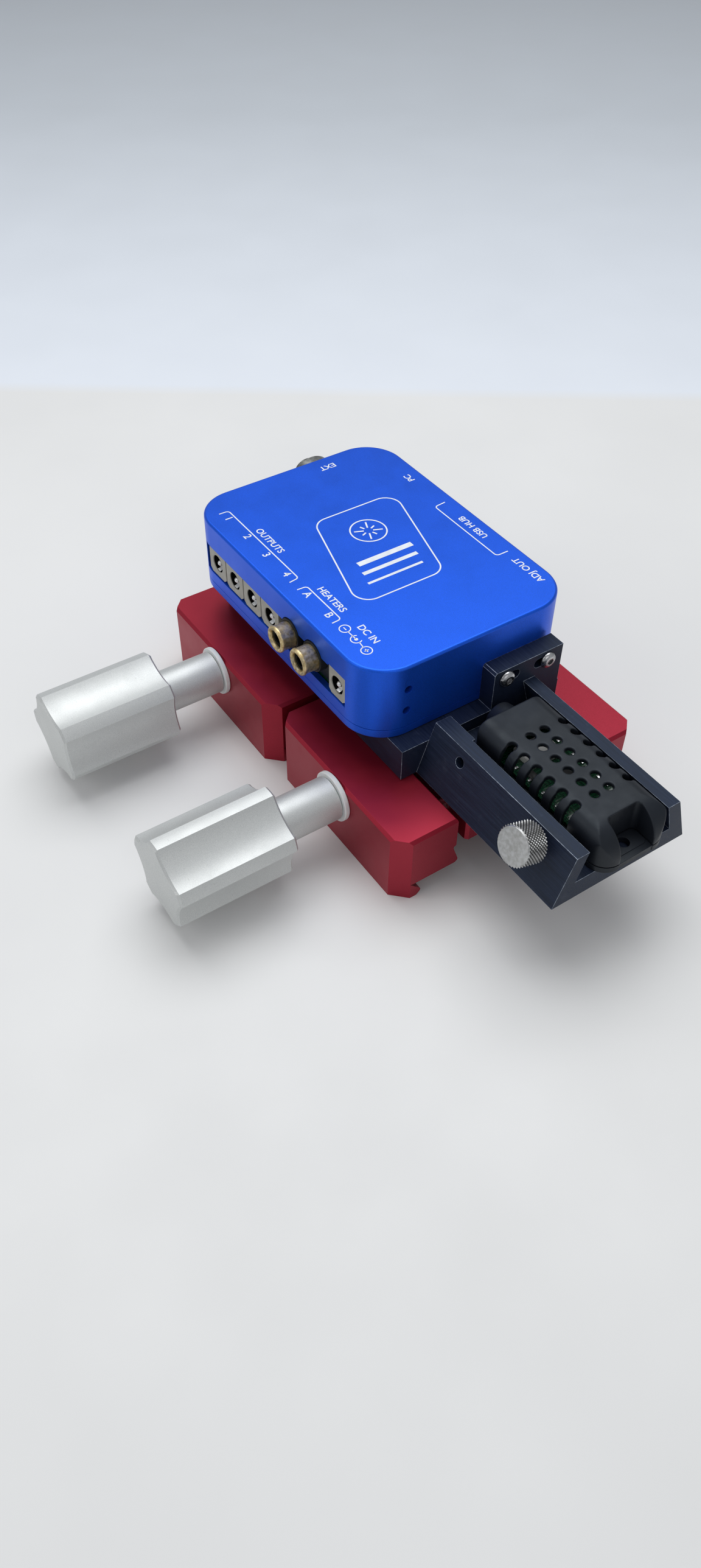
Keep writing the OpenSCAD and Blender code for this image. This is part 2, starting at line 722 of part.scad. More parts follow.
module sensor_gland() color([0.05, 0.05, 0.055]) difference() {
    far = sensor_near + sensor_len;
    union() {
        translate([sensor_x, far + 0.05, gland_z]) rotate([-90, 0, 0])
            cylinder(r1 = gland_r, r2 = gland_r - gland_taper, h = gland_len);
        rod_y(far - sensor_wall - 0.8, far + cut, gland_neck_r, sensor_x, gland_z);
    }
    rod_y(far - 2 * gland_len, far + 2 * gland_len, gland_bore_r, sensor_x, gland_z);
}

// ---- power box ----

module at_box() {
    translate([0, box_mid_y, 0]) children();
}

// The box's four corner posts
module at_posts() {
    for (sx = [-1, 1], sy = [-1, 1])
        translate([sx * post_x, box_mid_y + sy * (box_len / 2 - post_in), 0]) children();
}

// The openings in the cover's two long sides and its ends
module cover_openings() {
    low = 46.2;
    slot = [[-27.9, low], [58.2, 56.7]];
    along_x(-half_w - cut, -half_w + wall + cut) {
        translate(slot[0]) square(slot[1] - slot[0]);
        translate([input_y - input_w / 2 - play, low])
            square([input_w + 2 * play, input_top + play + fit - low]);
        for (y = heater_y) translate([y, heater_z]) circle(heater_boss_r + play);
    }
    along_x(half_w - wall - cut, half_w + cut) {
        for (y = usb_y) translate([y - usb_w / 2 - play, low])
            square([usb_w + 2 * play, part_z + usb_h + play - low]);
        translate([data_y - data_w / 2 - play, low])
            square([data_w + 2 * play, part_z + data_h + play - low]);
        translate([adjust_y - input_w / 2 - play, low])
            square([input_w + 2 * play, input_top + play + fit - low]);
    }
    rod_y(box_far - wall - cut, box_far + cut, port_thread_r + fit, port_x, port_z);
    for (hole = side_hole) rod_y(box_near - cut, box_near + wall + cut, side_hole_r, hole[0], hole[1]);
    for (x = tab_screw_x) rod_y(box_near - cut, box_near + wall + cut, tab_screw_r + press, x, tab_screw_z);
}

module box_cover() color([0.12, 0.26, 0.8]) difference() {
    union() {
        difference() {
            at_box() translate([0, 0, seam_z + seam])
                round_slab(box_w, box_len, box_top - seam_z - seam, box_r, edge_r);
            at_box() translate([0, 0, seam_z - cut]) linear_extrude(box_top - seam_z + cut - wall - 0.2)
                round_rect(box_w - 2 * wall, box_len - 2 * wall, box_r - wall);
        }
        at_posts() translate([0, 0, seam_z + seam]) cylinder(r = post_r, h = box_top - seam_z - seam - wall);
    }
    cover_openings();
    at_posts() cylinder(r = base_screw_r + press, h = box_top - 8);
}

module box_base() color([0.12, 0.26, 0.8]) difference() {
    union() {
        at_box() translate([0, 0, seam_z]) mirror([0, 0, 1]) round_slab(box_w, box_len, base_h, box_r, 0.6);
        for (sx = [-1, 1], y = board_screw_y) translate([sx * board_screw_x, y, seam_z - cut])
            cylinder(r = 3, h = board_z - seam_z + cut - 0.02);
    }
    at_posts() {
        translate([0, 0, block_top - cut]) cylinder(r = base_screw_r + 0.2, h = 3 * base_h);
        translate([0, 0, block_top - 0.01]) cylinder(r1 = 3.1, r2 = base_screw_r + 0.1, h = 1.7);
    }
    for (sx = [-1, 1], y = board_screw_y) translate([sx * board_screw_x, y, block_top + 1])
        cylinder(r = board_screw_r + press, h = board_z);
}

module base_screws() color([0.15, 0.15, 0.16]) at_posts() difference() {
    union() {
        translate([0, 0, block_top + fit]) cylinder(r1 = base_head_r, r2 = base_screw_r, h = base_head_h);
        translate([0, 0, block_top + 1]) cylinder(r = base_screw_r, h = base_screw_len);
    }
    translate([0, 0, block_top - cut]) cylinder(d = base_hex, h = base_hex_depth, $fn = 6);
}

module box_board() color([0.04, 0.2, 0.1]) difference() {
    at_box() translate([0, 0, board_z]) linear_extrude(board_h)
        round_rect(box_w - 2 * wall - 1, box_len - 2 * wall - 1, box_r - wall - 0.5);
    at_posts() cylinder(r = post_r + 0.4, h = box_top);
    for (sx = [-1, 1], y = board_screw_y) translate([sx * board_screw_x, y, 0])
        cylinder(r = board_screw_r + 0.15, h = box_top);
}

module board_screws() color([0.7, 0.7, 0.72])
    for (sx = [-1, 1], y = board_screw_y) translate([sx * board_screw_x, y, 0]) {
        translate([0, 0, block_top + 1.6]) cylinder(r = board_screw_r, h = board_top - block_top - 1);
        translate([0, 0, board_top + 0.02]) cylinder(r = 2.3, h = 1.6);
    }

// Capacitors, coils, switches and the controller on the box's board
module board_parts() color([0.2, 0.2, 0.22]) {
    for (y = [46, 34, 22]) translate([-14, y, part_z]) cylinder(r = 4, h = 11);
    for (y = [44, 30]) block([-4, y - 6, part_z], [8, y + 6, part_z + 7]);
    block([-8, 4, part_z], [2, 14, part_z + 1.2]);
    block([-18, -30, part_z], [-8, -18, part_z + 8]);
    for (k = [0 : 3]) block([-21, 2 - 6 * k, part_z], [-15, 6.5 - 6 * k, part_z + 2.3]);
}

// ---- sockets ----

// A barrel power socket that faces +X, with its face at x = 0, on the board
module power_socket(w, top) {
    difference() {
        along_x(-socket_len, 0) polygon([
            [-w / 2, part_z + 1.2], [1.4 - w / 2, part_z], [w / 2 - 1.4, part_z], [w / 2, part_z + 1.2],
            [w / 2, top], [-w / 2, top]]);
        rod_x(-socket_depth, cut, socket_r, 0, socket_z);
        rod_x(-socket_len - cut, 0, contact_r + press, 0, socket_z);
    }
}
module power_pin() {
    rod_x(-socket_len - 0.5, -contact_in, contact_r, 0, socket_z);
    translate([-contact_in, 0, socket_z]) sphere(contact_r);
}

module at_left(y) {
    translate([socket_face - half_w, y, 0]) mirror([1, 0, 0]) children();
}
module at_right(y) {
    translate([half_w - socket_face, y, 0]) children();
}

module output_socket(k) color([0.72, 0.7, 0.65])
    at_left(output_y - k * output_pitch) power_socket(socket_w, socket_top);
module output_socket_1() output_socket(0);
module output_socket_2() output_socket(1);
module output_socket_3() output_socket(2);
module output_socket_4() output_socket(3);
module output_socket_pins() color([0.85, 0.85, 0.86])
    for (k = [0 : 3]) at_left(output_y - k * output_pitch) power_pin();

module input_socket() color([0.72, 0.7, 0.65]) at_left(input_y) power_socket(input_w, input_top);
module input_socket_pin() color([0.85, 0.85, 0.86]) at_left(input_y) power_pin();
module adjustable_socket() color([0.1, 0.1, 0.1]) at_right(adjust_y) power_socket(input_w, input_top);
module adjustable_socket_pin() color([0.85, 0.85, 0.86]) at_right(adjust_y) power_pin();

// The black housing of the two heater sockets
module heater_block() color([0.04, 0.04, 0.04]) difference() {
    union() {
        block([wall - half_w + 0.4, heater_block_y[0], part_z],
            [heater_back - half_w, heater_block_y[1], heater_block_top]);
        for (y = heater_y) rod_x(-half_w - heater_boss_out, heater_back - half_w, heater_boss_r, y, heater_z);
    }
    for (y = heater_y) rod_x(-half_w - heater_out, heater_end - half_w + 0.1, heater_r + press, y, heater_z);
}

// A heater socket's metal barrel with its rolled rim
module heater_barrel(k) color([0.72, 0.66, 0.5]) difference() {
    union() {
        rod_x(-half_w - heater_out, heater_rim_h - half_w - heater_out, heater_rim_r, heater_y[k], heater_z);
        rod_x(-half_w - heater_out + 1, heater_end - half_w, heater_r, heater_y[k], heater_z);
    }
    rod_x(-half_w - heater_out - cut, heater_end - half_w + cut, heater_bore_r, heater_y[k], heater_z);
}
module heater_barrel_a() heater_barrel(0);
module heater_barrel_b() heater_barrel(1);

module heater_liners() color([0.05, 0.05, 0.05]) for (y = heater_y) difference() {
    rod_x(-half_w - heater_out + 1.2, heater_end - half_w, heater_bore_r - press, y, heater_z);
    rod_x(-half_w - heater_out - cut, heater_pin_depth - half_w, heater_pin_r, y, heater_z);
}

// Two stacked data sockets in one metal shell that faces +X
module usb_stack(k) color([0.78, 0.78, 0.8]) at_right(usb_y[k]) difference() {
    block([-usb_len, -usb_w / 2, part_z], [port_lip, usb_w / 2, part_z + usb_h]);
    for (z = usb_rows)
        block([-usb_depth, -usb_mouth_w / 2, part_z + z], [cut, usb_mouth_w / 2, part_z + z + usb_mouth_h]);
}
module usb_stack_1() usb_stack(0);
module usb_stack_2() usb_stack(1);
module usb_tongues() color([0.9, 0.9, 0.88])
    for (y = usb_y, z = usb_rows) at_right(y)
        block([press - usb_depth, -usb_tongue[0] / 2, part_z + z + usb_mouth_h - usb_tongue[1] - 0.3],
            [-1.2, usb_tongue[0] / 2, part_z + z + usb_mouth_h - 0.3]);

// The square data port that faces +X
module data_port() color([0.78, 0.78, 0.8]) at_right(data_y) difference() {
    block([-data_len, -data_w / 2, part_z], [port_lip, data_w / 2, part_z + data_h]);
    along_x(-data_depth, cut) translate([0, part_z]) polygon([
        [-4.3, 1.5], [4.3, 1.5], [4.3, 6.8], [2.6, 9.3], [-2.6, 9.3], [-4.3, 6.8]]);
}
module data_port_tongue() color([0.9, 0.9, 0.88]) at_right(data_y)
    block([press - data_depth, -data_tongue_w / 2, part_z + 3.6], [-0.8, data_tongue_w / 2, part_z + 6.8]);

// The round screw-on port in the far face
module accessory_port_shell() color([0.6, 0.6, 0.6]) difference() {
    union() {
        rod_y(box_far - port_in, box_far - wall - fit, port_thread_r + port_flange, port_x, port_z);
        rod_y(box_far - wall - cut, box_far + port_nut_h, port_thread_r, port_x, port_z);
        rod_y(box_far + port_nut_h + port_groove, box_far + port_out, port_mouth_r, port_x, port_z);
        rod_y(box_far, box_far + port_out - cut, port_mouth_r - port_groove, port_x, port_z);
    }
    rod_y(box_far - port_in + port_flange, box_far + port_out + cut, port_bore_r, port_x, port_z);
}
module accessory_port_nut() color([0.42, 0.43, 0.42]) difference() {
    rod_y(box_far + fit, box_far + port_nut_h, port_nut_r, port_x, port_z);
    rod_y(box_far - cut, box_far + port_nut_h + cut, port_thread_r + press, port_x, port_z);
}
module accessory_port_insert() color([0.06, 0.06, 0.06]) difference() {
    rod_y(box_far - port_in + 2 * port_flange, box_far + port_insert_out, port_bore_r - press,
        port_x, port_z);
    for (k = [0 : 3]) rod_y(box_far - port_insert_out, box_far + port_insert_out + cut, port_contact_r,
        port_x + port_contact_off * cos(45 + 90 * k), port_z + port_contact_off * sin(45 + 90 * k));
}

saddle_body();
front_jaw();
rear_jaw();
front_knob();
rear_knob();
front_clamp_screw();
rear_clamp_screw();
front_knob_washer();
rear_knob_washer();
front_guide_pins();
rear_guide_pins();
front_jaw_spring();
rear_jaw_spring();
bracket();
bracket_bolts();
thumb_insert();
thumb_screw();
thumb_screw_tip();
sensor_cover();
sensor_base();
sensor_board();
sensor_parts();
sensor_gland();
box_cover();
box_base();
base_screws();
tab_screws();
box_board();
board_screws();
board_parts();
output_socket_1();
output_socket_2();
output_socket_3();
output_socket_4();
output_socket_pins();
input_socket();
input_socket_pin();
heater_block();
heater_barrel_a();
heater_barrel_b();
heater_liners();
usb_stack_1();
usb_stack_2();
usb_tongues();
data_port();
data_port_tongue();
adjustable_socket();
adjustable_socket_pin();
accessory_port_shell();
accessory_port_nut();
accessory_port_insert();
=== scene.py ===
"""Looks of the dovetail saddle with its power box and sensor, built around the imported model.

Lengths are in metres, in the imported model's frame: +Y runs along the dovetail groove, +Z is up through
the box, and the moving jaws and their knobs are on the -X side.
"""

import json
import math

import bmesh
import bpy
from mathutils import Matrix, Vector


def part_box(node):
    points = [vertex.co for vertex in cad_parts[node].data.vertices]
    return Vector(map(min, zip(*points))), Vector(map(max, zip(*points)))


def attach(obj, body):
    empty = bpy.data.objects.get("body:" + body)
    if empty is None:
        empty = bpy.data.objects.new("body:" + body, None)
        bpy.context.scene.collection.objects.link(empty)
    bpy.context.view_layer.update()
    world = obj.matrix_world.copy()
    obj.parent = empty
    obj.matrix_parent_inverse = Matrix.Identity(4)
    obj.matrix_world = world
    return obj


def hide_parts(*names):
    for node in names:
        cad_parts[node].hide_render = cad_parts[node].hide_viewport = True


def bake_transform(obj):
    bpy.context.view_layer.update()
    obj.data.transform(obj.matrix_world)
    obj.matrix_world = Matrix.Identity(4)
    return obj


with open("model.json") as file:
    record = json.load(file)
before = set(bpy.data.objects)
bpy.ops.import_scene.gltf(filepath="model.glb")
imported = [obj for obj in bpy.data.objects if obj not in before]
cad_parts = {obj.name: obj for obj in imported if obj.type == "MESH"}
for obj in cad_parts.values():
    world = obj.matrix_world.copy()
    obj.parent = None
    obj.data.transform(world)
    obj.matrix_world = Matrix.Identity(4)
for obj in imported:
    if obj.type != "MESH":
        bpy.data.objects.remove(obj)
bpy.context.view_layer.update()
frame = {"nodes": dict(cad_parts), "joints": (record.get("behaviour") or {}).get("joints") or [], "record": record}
scene = bpy.context.scene
record = frame["record"]
MM = 0.001
SLOT_OF = {part["node"]: part["material_slot"] for part in record["subparts"]}
BODY_OF = {node: body for body, nodes in record["behaviour"]["bodies"].items() for node in nodes}
MOUNTS = {mount["name"]: Vector(mount["pos_m"]) for mount in record["mounts"]}
JOINTS = {joint["name"]: joint for joint in frame["joints"]}
BOX_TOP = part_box("box_cover")[1].z
# the vertex colour that marks rounded edges and knurl grooves, for a painted highlight on the printed plastic's
# edges and painted shade in the grooves
TRACE_LAYER = "trace"
# edges between faces that meet at more than this angle, in degrees, are drawn sharp
SHARP_ANGLE = 32
# the pale sheet's far end and the depth over which the floor turns greyer behind it, from the floor's own origin
SHEET_END = 0.2345
GREYING_DEPTH = 0.42


# ---------------------------------------------------------------- materials

class Shader:
    """A Principled material under construction, with short ways to add its procedural detail."""

    def __init__(self, name, color, rough=0.5, metallic=0.0, **sockets):
        self.material = bpy.data.materials.new(name)
        self.material.use_nodes = True
        self.nodes = self.material.node_tree.nodes
        self.links = self.material.node_tree.links
        self.bsdf = self.nodes["Principled BSDF"]
        self.bsdf.inputs["Base Color"].default_value = (*color, 1)
        self.bsdf.inputs["Roughness"].default_value = rough
        self.bsdf.inputs["Metallic"].default_value = metallic
        for socket, value in sockets.items():
            self.bsdf.inputs[socket.replace("_", " ")].default_value = value
        self.coords = self.nodes.new("ShaderNodeTexCoord").outputs["Object"]
        self.normal = None

    def scaled(self, scale):
        mapping = self.nodes.new("ShaderNodeMapping")
        mapping.inputs["Scale"].default_value = scale
        self.links.new(self.coords, mapping.inputs["Vector"])
        return mapping.outputs["Vector"]

    def noise(self, size, detail=3.0, stretch=(1, 1, 1)):
        """Noise whose spots are about size metres across, drawn out by stretch."""
        texture = self.nodes.new("ShaderNodeTexNoise")
        texture.inputs["Scale"].default_value = 1
        texture.inputs["Detail"].default_value = detail
        self.links.new(self.scaled([1 / (size * k) for k in stretch]), texture.inputs["Vector"])
        return texture.outputs["Fac"]

    def bands(self, period, direction="Z", wobble=0.0):
        """Stripes that repeat every period metres along one axis."""
        texture = self.nodes.new("ShaderNodeTexWave")
        texture.wave_type = "BANDS"
        texture.bands_direction = direction
        # at scale 1 the texture's own bands are 2 pi / 20 apart
        texture.inputs["Scale"].default_value = 2 * math.pi / 20
        texture.inputs["Distortion"].default_value = wobble
        texture.inputs["Detail"].default_value = 2
        self.links.new(self.scaled([1 / period] * 3), texture.inputs["Vector"])
        return texture.outputs["Fac"]

    def ramp(self, fac, low, high, start=0.35, end=0.65):
        """Colours from low to high as fac goes from start to end."""
        ramp = self.nodes.new("ShaderNodeValToRGB")
        elements = ramp.color_ramp.elements
        elements[0].position, elements[1].position = start, end
        elements[0].color = (*low, 1)
        elements[1].color = (*high, 1)
        self.links.new(fac, ramp.inputs["Fac"])
        return ramp.outputs["Color"]

    def mix(self, fac, a, b):
        mix = self.nodes.new("ShaderNodeMix")
        mix.data_type = "RGBA"
        self.links.new(fac, mix.inputs["Factor"])
        self.links.new(a, mix.inputs["A"])
        self.links.new(b, mix.inputs["B"])
        return mix.outputs["Result"]

    def remap(self, fac, low, high, start=0.3, end=0.7):
        """A value from low to high as fac goes from start to end."""
        node = self.nodes.new("ShaderNodeMapRange")
        node.inputs["From Min"].default_value = start
        node.inputs["From Max"].default_value = end
        node.inputs["To Min"].default_value = low
        node.inputs["To Max"].default_value = high
        self.links.new(fac, node.inputs["Value"])
        return node.outputs["Result"]

    def trace(self):
        """The mesh's own mark, from 0 to 1: a softened piece's rounded edges, or a knurl's grooves."""
        mark = self.nodes.new("ShaderNodeAttribute")
        mark.attribute_name = TRACE_LAYER
        return mark.outputs["Fac"]

    def color(self, output):
        self.links.new(output, self.bsdf.inputs["Base Color"])
        return self

    def rough(self, output):
        self.links.new(output, self.bsdf.inputs["Roughness"])
        return self

    def bump(self, height, depth, strength=1.0):
        """Adds a height, depth metres from low to high, to the surface's bump."""
        bump = self.nodes.new("ShaderNodeBump")
        bump.inputs["Distance"].default_value = depth
        bump.inputs["Strength"].default_value = strength
        self.links.new(height, bump.inputs["Height"])
        if self.normal is not None:
            self.links.new(self.normal, bump.inputs["Normal"])
        self.normal = bump.outputs["Normal"]
        self.links.new(self.normal, self.bsdf.inputs["Normal"])
        return self


def anodised(name, color, metallic):
    """Satin anodised aluminium: an even dye over fine blasted grain, which sparkles a little."""
    s = Shader(name, color, metallic=metallic, rough=0.40)
    paler = [min(1, 1.22 * c + 0.004) for c in color]
    deeper = [0.86 * c for c in color]
    s.color(s.ramp(s.noise(0.16 * MM, 3), deeper, paler, 0.3, 0.7))
    s.rough(s.remap(s.noise(9 * MM, 4), 0.36, 0.43))
    return s.bump(s.noise(0.14 * MM, 2), 0.012 * MM, 0.6).material


def blasted_silver():
    """Bead-blasted, clear anodised aluminium: pale pits all over, and a few fine marks."""
    s = Shader("blasted_aluminium", (0.66, 0.67, 0.66), metallic=0.72, rough=0.52)
    grain = s.ramp(s.noise(0.17 * MM, 3), (0.55, 0.565, 0.56), (0.73, 0.742, 0.73), 0.3, 0.7)
    mark = s.ramp(s.noise(0.5 * MM, 2, (1, 4, 4)), (0, 0, 0), (1, 1, 1), 0.72, 0.78)
    s.color(s.mix(mark, grain, s.ramp(mark, (0.50, 0.51, 0.50), (0.52, 0.53, 0.52))))
    s.rough(s.remap(s.noise(8 * MM, 5), 0.48, 0.56))
    return s.bump(s.noise(0.17 * MM, 3), 0.026 * MM, 0.5).material


def printed_plastic():
    """Filament print: a ridge per layer, streaks of filament along the walls, and a painted highlight along the
    rounded edges.
    """
    layer = 0.22 * MM
    s = Shader("printed_plastic", (0.008, 0.012, 0.026), rough=0.46, Specular_IOR_Level=0.28,
               Specular_Tint=(0.72, 0.86, 1.0, 1))
    streak = s.noise(0.5 * MM, 6, (1.1, 30, 0.5))
    base = s.ramp(streak, (0.0048, 0.0082, 0.0215), (0.0200, 0.0290, 0.0590), 0.30, 0.75)
    scuff = s.ramp(s.noise(4 * MM, 8), (0, 0, 0), (0.5, 0.5, 0.5), 0.60, 0.85)
    pale = s.ramp(streak, (0.020, 0.027, 0.048), (0.070, 0.084, 0.118))
    # painted highlight on the rounded edges, full in patches and faint elsewhere
    rounded_edge = s.trace()
    faint_highlight = s.ramp(rounded_edge, (0, 0, 0), (0.38, 0.38, 0.38), 0, 1)
    full_highlight = s.ramp(rounded_edge, (0, 0, 0), (1, 1, 1), 0, 1)
    edge_highlight = s.mix(s.remap(s.noise(1.6 * MM, 5), 0, 1, 0.38, 0.58), faint_highlight, full_highlight)
    highlight_color = s.ramp(streak, (0.15, 0.18, 0.23), (0.42, 0.47, 0.55))
    s.color(s.mix(edge_highlight, s.mix(scuff, base, pale), highlight_color))
    s.rough(s.remap(streak, 0.38, 0.56))
    s.bump(s.bands(layer, "Z", 0.6), 0.030 * MM, 0.55)
    return s.bump(s.noise(0.6 * MM, 4, (9, 9, 0.4)), 0.035 * MM, 0.5).material


def moulded_black(name, color=(0.0068, 0.0082, 0.0118), rough=0.42):
    """Black moulding with a fine spark texture and a little dust."""
    s = Shader(name, color, rough=rough, Specular_IOR_Level=0.32, Specular_Tint=(0.82, 0.92, 1.0, 1))
    dust = s.ramp(s.noise(0.35 * MM, 6), (0, 0, 0), (1, 1, 1), 0.66, 0.80)
    base = s.ramp(s.noise(12 * MM, 3), color, [c * 1.45 for c in color])
    s.color(s.mix(dust, base, s.ramp(dust, color, [c * 4 + 0.01 for c in color])))
    s.rough(s.remap(s.noise(4 * MM, 5), rough - 0.05, rough + 0.09))
    return s.bump(s.noise(0.16 * MM, 3), 0.02 * MM, 0.5).material


def metal(name, low, high, rough=0.3, metallic=1.0):
    """Bare or plated metal with mottled tone and a fine grain."""
    grain = 0.3 * MM
    s = Shader(name, high, rough=rough, metallic=metallic)
    s.color(s.ramp(s.noise(grain * 8, 5), low, high))
    s.rough(s.remap(s.noise(grain * 5, 4), rough - 0.07, rough + 0.1))
    return s.bump(s.noise(grain, 3), 0.012 * MM, 0.5).material


def dull_plated_metal():
    """Dull plated metal, cloudy on the flats, with painted shade that turns the knurl's grooves black."""
    s = Shader("thumb_metal", (0.55, 0.56, 0.56), rough=0.34, metallic=0.9)
    clouds = s.ramp(s.noise(1.3 * MM, 7), (0.43, 0.43, 0.42), (0.58, 0.585, 0.59), 0.36, 0.64)
    # painted shade: near black where the trace layer marks the knurl's grooves
    s.color(s.mix(s.trace(), clouds, s.ramp(s.trace(), (0.02, 0.02, 0.02), (0.012, 0.012, 0.012))))
    s.rough(s.remap(s.noise(0.6 * MM, 4), 0.28, 0.44))
    return s.bump(s.noise(0.12 * MM, 3), 0.014 * MM, 0.5).material


def tarnished_gold():
    """Thin gold over brass, dull and greyer in patches."""
    s = Shader("tarnished_gold", (0.6, 0.5, 0.3), rough=0.40, metallic=0.72)
    gold = s.ramp(s.noise(1.2 * MM, 4), (0.50, 0.36, 0.15), (0.86, 0.70, 0.40))
    grey = s.ramp(s.noise(0.8 * MM, 5), (0.22, 0.18, 0.11), (0.50, 0.44, 0.32))
    s.color(s.mix(s.remap(s.noise(2.6 * MM, 3), 0.0, 1.0, 0.46, 0.66), gold, grey))
    s.rough(s.remap(s.noise(1.5 * MM, 5), 0.30, 0.48))
    return s.bump(s.noise(0.3 * MM, 3), 0.012 * MM, 0.5).material


def plain_plastic(name, color, rough=0.45, spread=1.2, **sockets):
    """Moulded plastic with slight flow marks."""
    s = Shader(name, color, rough=rough, **sockets)
    s.color(s.ramp(s.noise(2.5 * MM, 4), color, [min(1, c * spread) for c in color]))
    s.rough(s.remap(s.noise(1.5 * MM, 4), rough - 0.06, rough + 0.08))
    return s.bump(s.noise(0.25 * MM, 3), 0.014 * MM, 0.5).material


def circuit_board():
    """Solder mask over copper runs, which show as slightly paler and raised stripes."""
    s = Shader("circuit_green", (0.01, 0.10, 0.04), rough=0.25, Coat_Weight=0.4)
    patches = s.remap(s.noise(3.5 * MM, 1), 0, 1, 0.49, 0.51)
    runs = s.mix(patches, s.bands(1.3 * MM, "X"), s.bands(1.1 * MM, "Y"))
    s.color(s.ramp(runs, (0.003, 0.045, 0.020), (0.008, 0.090, 0.036), 0.55, 0.65))
    return s.bump(runs, 0.03 * MM, 0.4).material


def studio_floor():
    """A pale sheet with very faint smudges that ends in a soft line, and a greyer distance behind."""
    s = Shader("studio_floor", (0.80, 0.80, 0.79), rough=0.42)
    sheet = s.ramp(s.noise(0.16, 5), (0.775, 0.775, 0.77), (0.80, 0.80, 0.795))
    split = s.nodes.new("ShaderNodeSeparateXYZ")
    s.links.new(s.coords, split.inputs["Vector"])
    distance = split.outputs["Y"]
    depth = s.remap(distance, 0, 1, SHEET_END, SHEET_END + GREYING_DEPTH)
    far_grey = s.ramp(depth, (0.78, 0.82, 0.885), (0.60, 0.64, 0.69), 0.0, 1)
    past_end = s.remap(distance, 0, 1, SHEET_END - 4 * MM, SHEET_END + 6 * MM)
    s.color(s.mix(past_end, sheet, far_grey))
    return s.rough(s.remap(s.noise(0.05, 5), 0.36, 0.55)).material


MATERIALS = {
    "red_anodised": anodised("red_anodised", (0.32, 0.011, 0.030), 0.66),
    "blue_anodised": anodised("blue_anodised", (0.008, 0.105, 0.74), 0.74),
    "blasted_aluminium": blasted_silver(),
    "screw_steel": metal("screw_steel", (0.34, 0.34, 0.35), (0.62, 0.62, 0.63), 0.24),
    "black_steel": metal("black_steel", (0.012, 0.012, 0.013), (0.035, 0.034, 0.034), 0.4, metallic=0.6),
    "white_nylon": plain_plastic("white_nylon", (0.72, 0.73, 0.73), 0.4, 1.08, Subsurface_Weight=0.15,
                                 Subsurface_Scale=0.001),
    "printed_plastic": printed_plastic(),
    "insert_brass": metal("insert_brass", (0.50, 0.33, 0.12), (0.78, 0.58, 0.26), 0.3),
    "thumb_metal": dull_plated_metal(),
    "sensor_plastic": moulded_black("sensor_plastic"),
    "circuit_green": circuit_board(),
    "chip_parts": plain_plastic("chip_parts", (0.035, 0.035, 0.036), 0.4, 1.6),
    "socket_grey": plain_plastic("socket_grey", (0.36, 0.35, 0.31), 0.5, 1.15),
    "black_nylon": moulded_black("black_nylon", (0.010, 0.010, 0.0095), 0.5),
    "socket_metal": metal("socket_metal", (0.66, 0.66, 0.67), (0.92, 0.92, 0.93), 0.3, metallic=0.8),
    "tarnished_gold": tarnished_gold(),
    "tongue_white": plain_plastic("tongue_white", (0.72, 0.72, 0.70), 0.45, 1.08),
    "port_metal": metal("port_metal", (0.16, 0.165, 0.16), (0.34, 0.345, 0.33), 0.34),
}
# finishes that differ from the slot they belong to
ETCH = plain_plastic("etched_marks", (0.74, 0.77, 0.82), 0.5, 1.12)
# painted shade: a black darker than any plastic, with almost no sheen, for the sockets' recesses and the heater
# liners
RECESS_SHADE = plain_plastic("recess_shade", (0.0015, 0.0015, 0.0015), 0.6, 1.2,
                             Specular_IOR_Level=0.1)
ELEMENT_WHITE = plain_plastic("element_white", (0.80, 0.80, 0.78), 0.45, 1.1)


# ---------------------------------------------------------------- building blocks

def smooth_by_angle(mesh, degrees=SHARP_ANGLE):
    """Smooth shading that stays sharp at edges over an angle."""
    mesh.shade_smooth()
    mesh.set_sharp_from_angle(angle=math.radians(degrees))


def piece(name, bm, slot, body, *nodes, material=None, sharp=SHARP_ANGLE):
    """Turns a bmesh into a piece that rides on a body, takes a slot's finish and stands for CAD nodes.

    A piece without a body is left unattached."""
    bmesh.ops.recalc_face_normals(bm, faces=bm.faces)
    mesh = bpy.data.meshes.new(name)
    bm.to_mesh(mesh)
    bm.free()
    obj = bpy.data.objects.new(name, mesh)
    scene.collection.objects.link(obj)
    mesh.materials.append(material or MATERIALS[slot])
    smooth_by_angle(mesh, sharp)
    if body:
        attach(obj, body)
    if nodes:
        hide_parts(*nodes)
    return obj


def node_bmesh(node):
    """A CAD node's mesh with its triangles joined into flat faces."""
    weld, flat_angle = 1e-6, math.radians(0.4)
    bm = bmesh.new()
    bm.from_mesh(frame["nodes"][node].data)
    bmesh.ops.remove_doubles(bm, verts=bm.verts, dist=weld)
    bmesh.ops.dissolve_limit(bm, angle_limit=flat_angle, verts=bm.verts, edges=bm.edges)
    return bm


def bevel_edges(bm, width, segments=2, sharper_than=30, keep=None):
    """Rounds the edges that are sharper than an angle in degrees and that keep(edge) allows.

    The new faces are marked in the trace layer."""
    limit = math.radians(sharper_than)
    edges = [e for e in bm.edges if len(e.link_faces) == 2 and e.calc_face_angle(0) > limit]
    if keep:
        edges = [e for e in edges if keep(e)]
    bmesh.ops.bevel(bm, geom=edges, offset=width, segments=segments, profile=0.5, affect="EDGES",
                    clamp_overlap=True, material=1)
    layer = bm.loops.layers.float_color.new(TRACE_LAYER)
    for face in bm.faces:
        rounded_edge = float(face.material_index)
        face.material_index = 0
        for loop in face.loops:
            loop[layer] = (rounded_edge, rounded_edge, rounded_edge, 1)


def softened(node, width, segments=2, sharper_than=30, keep=None):
    """A CAD node's shape with its sharp edges rounded, as tools and moulds leave them."""
    bm = node_bmesh(node)
    bevel_edges(bm, width, segments, sharper_than, keep)
    obj = piece(node + "_finished", bm, SLOT_OF[node], BODY_OF[node], node)
    # flat faces keep one even normal, so only the rounded edges shade
    weighted = obj.modifiers.new("weighted", "WEIGHTED_NORMAL")
    weighted.keep_sharp = True
    weighted.weight = 100
    return obj


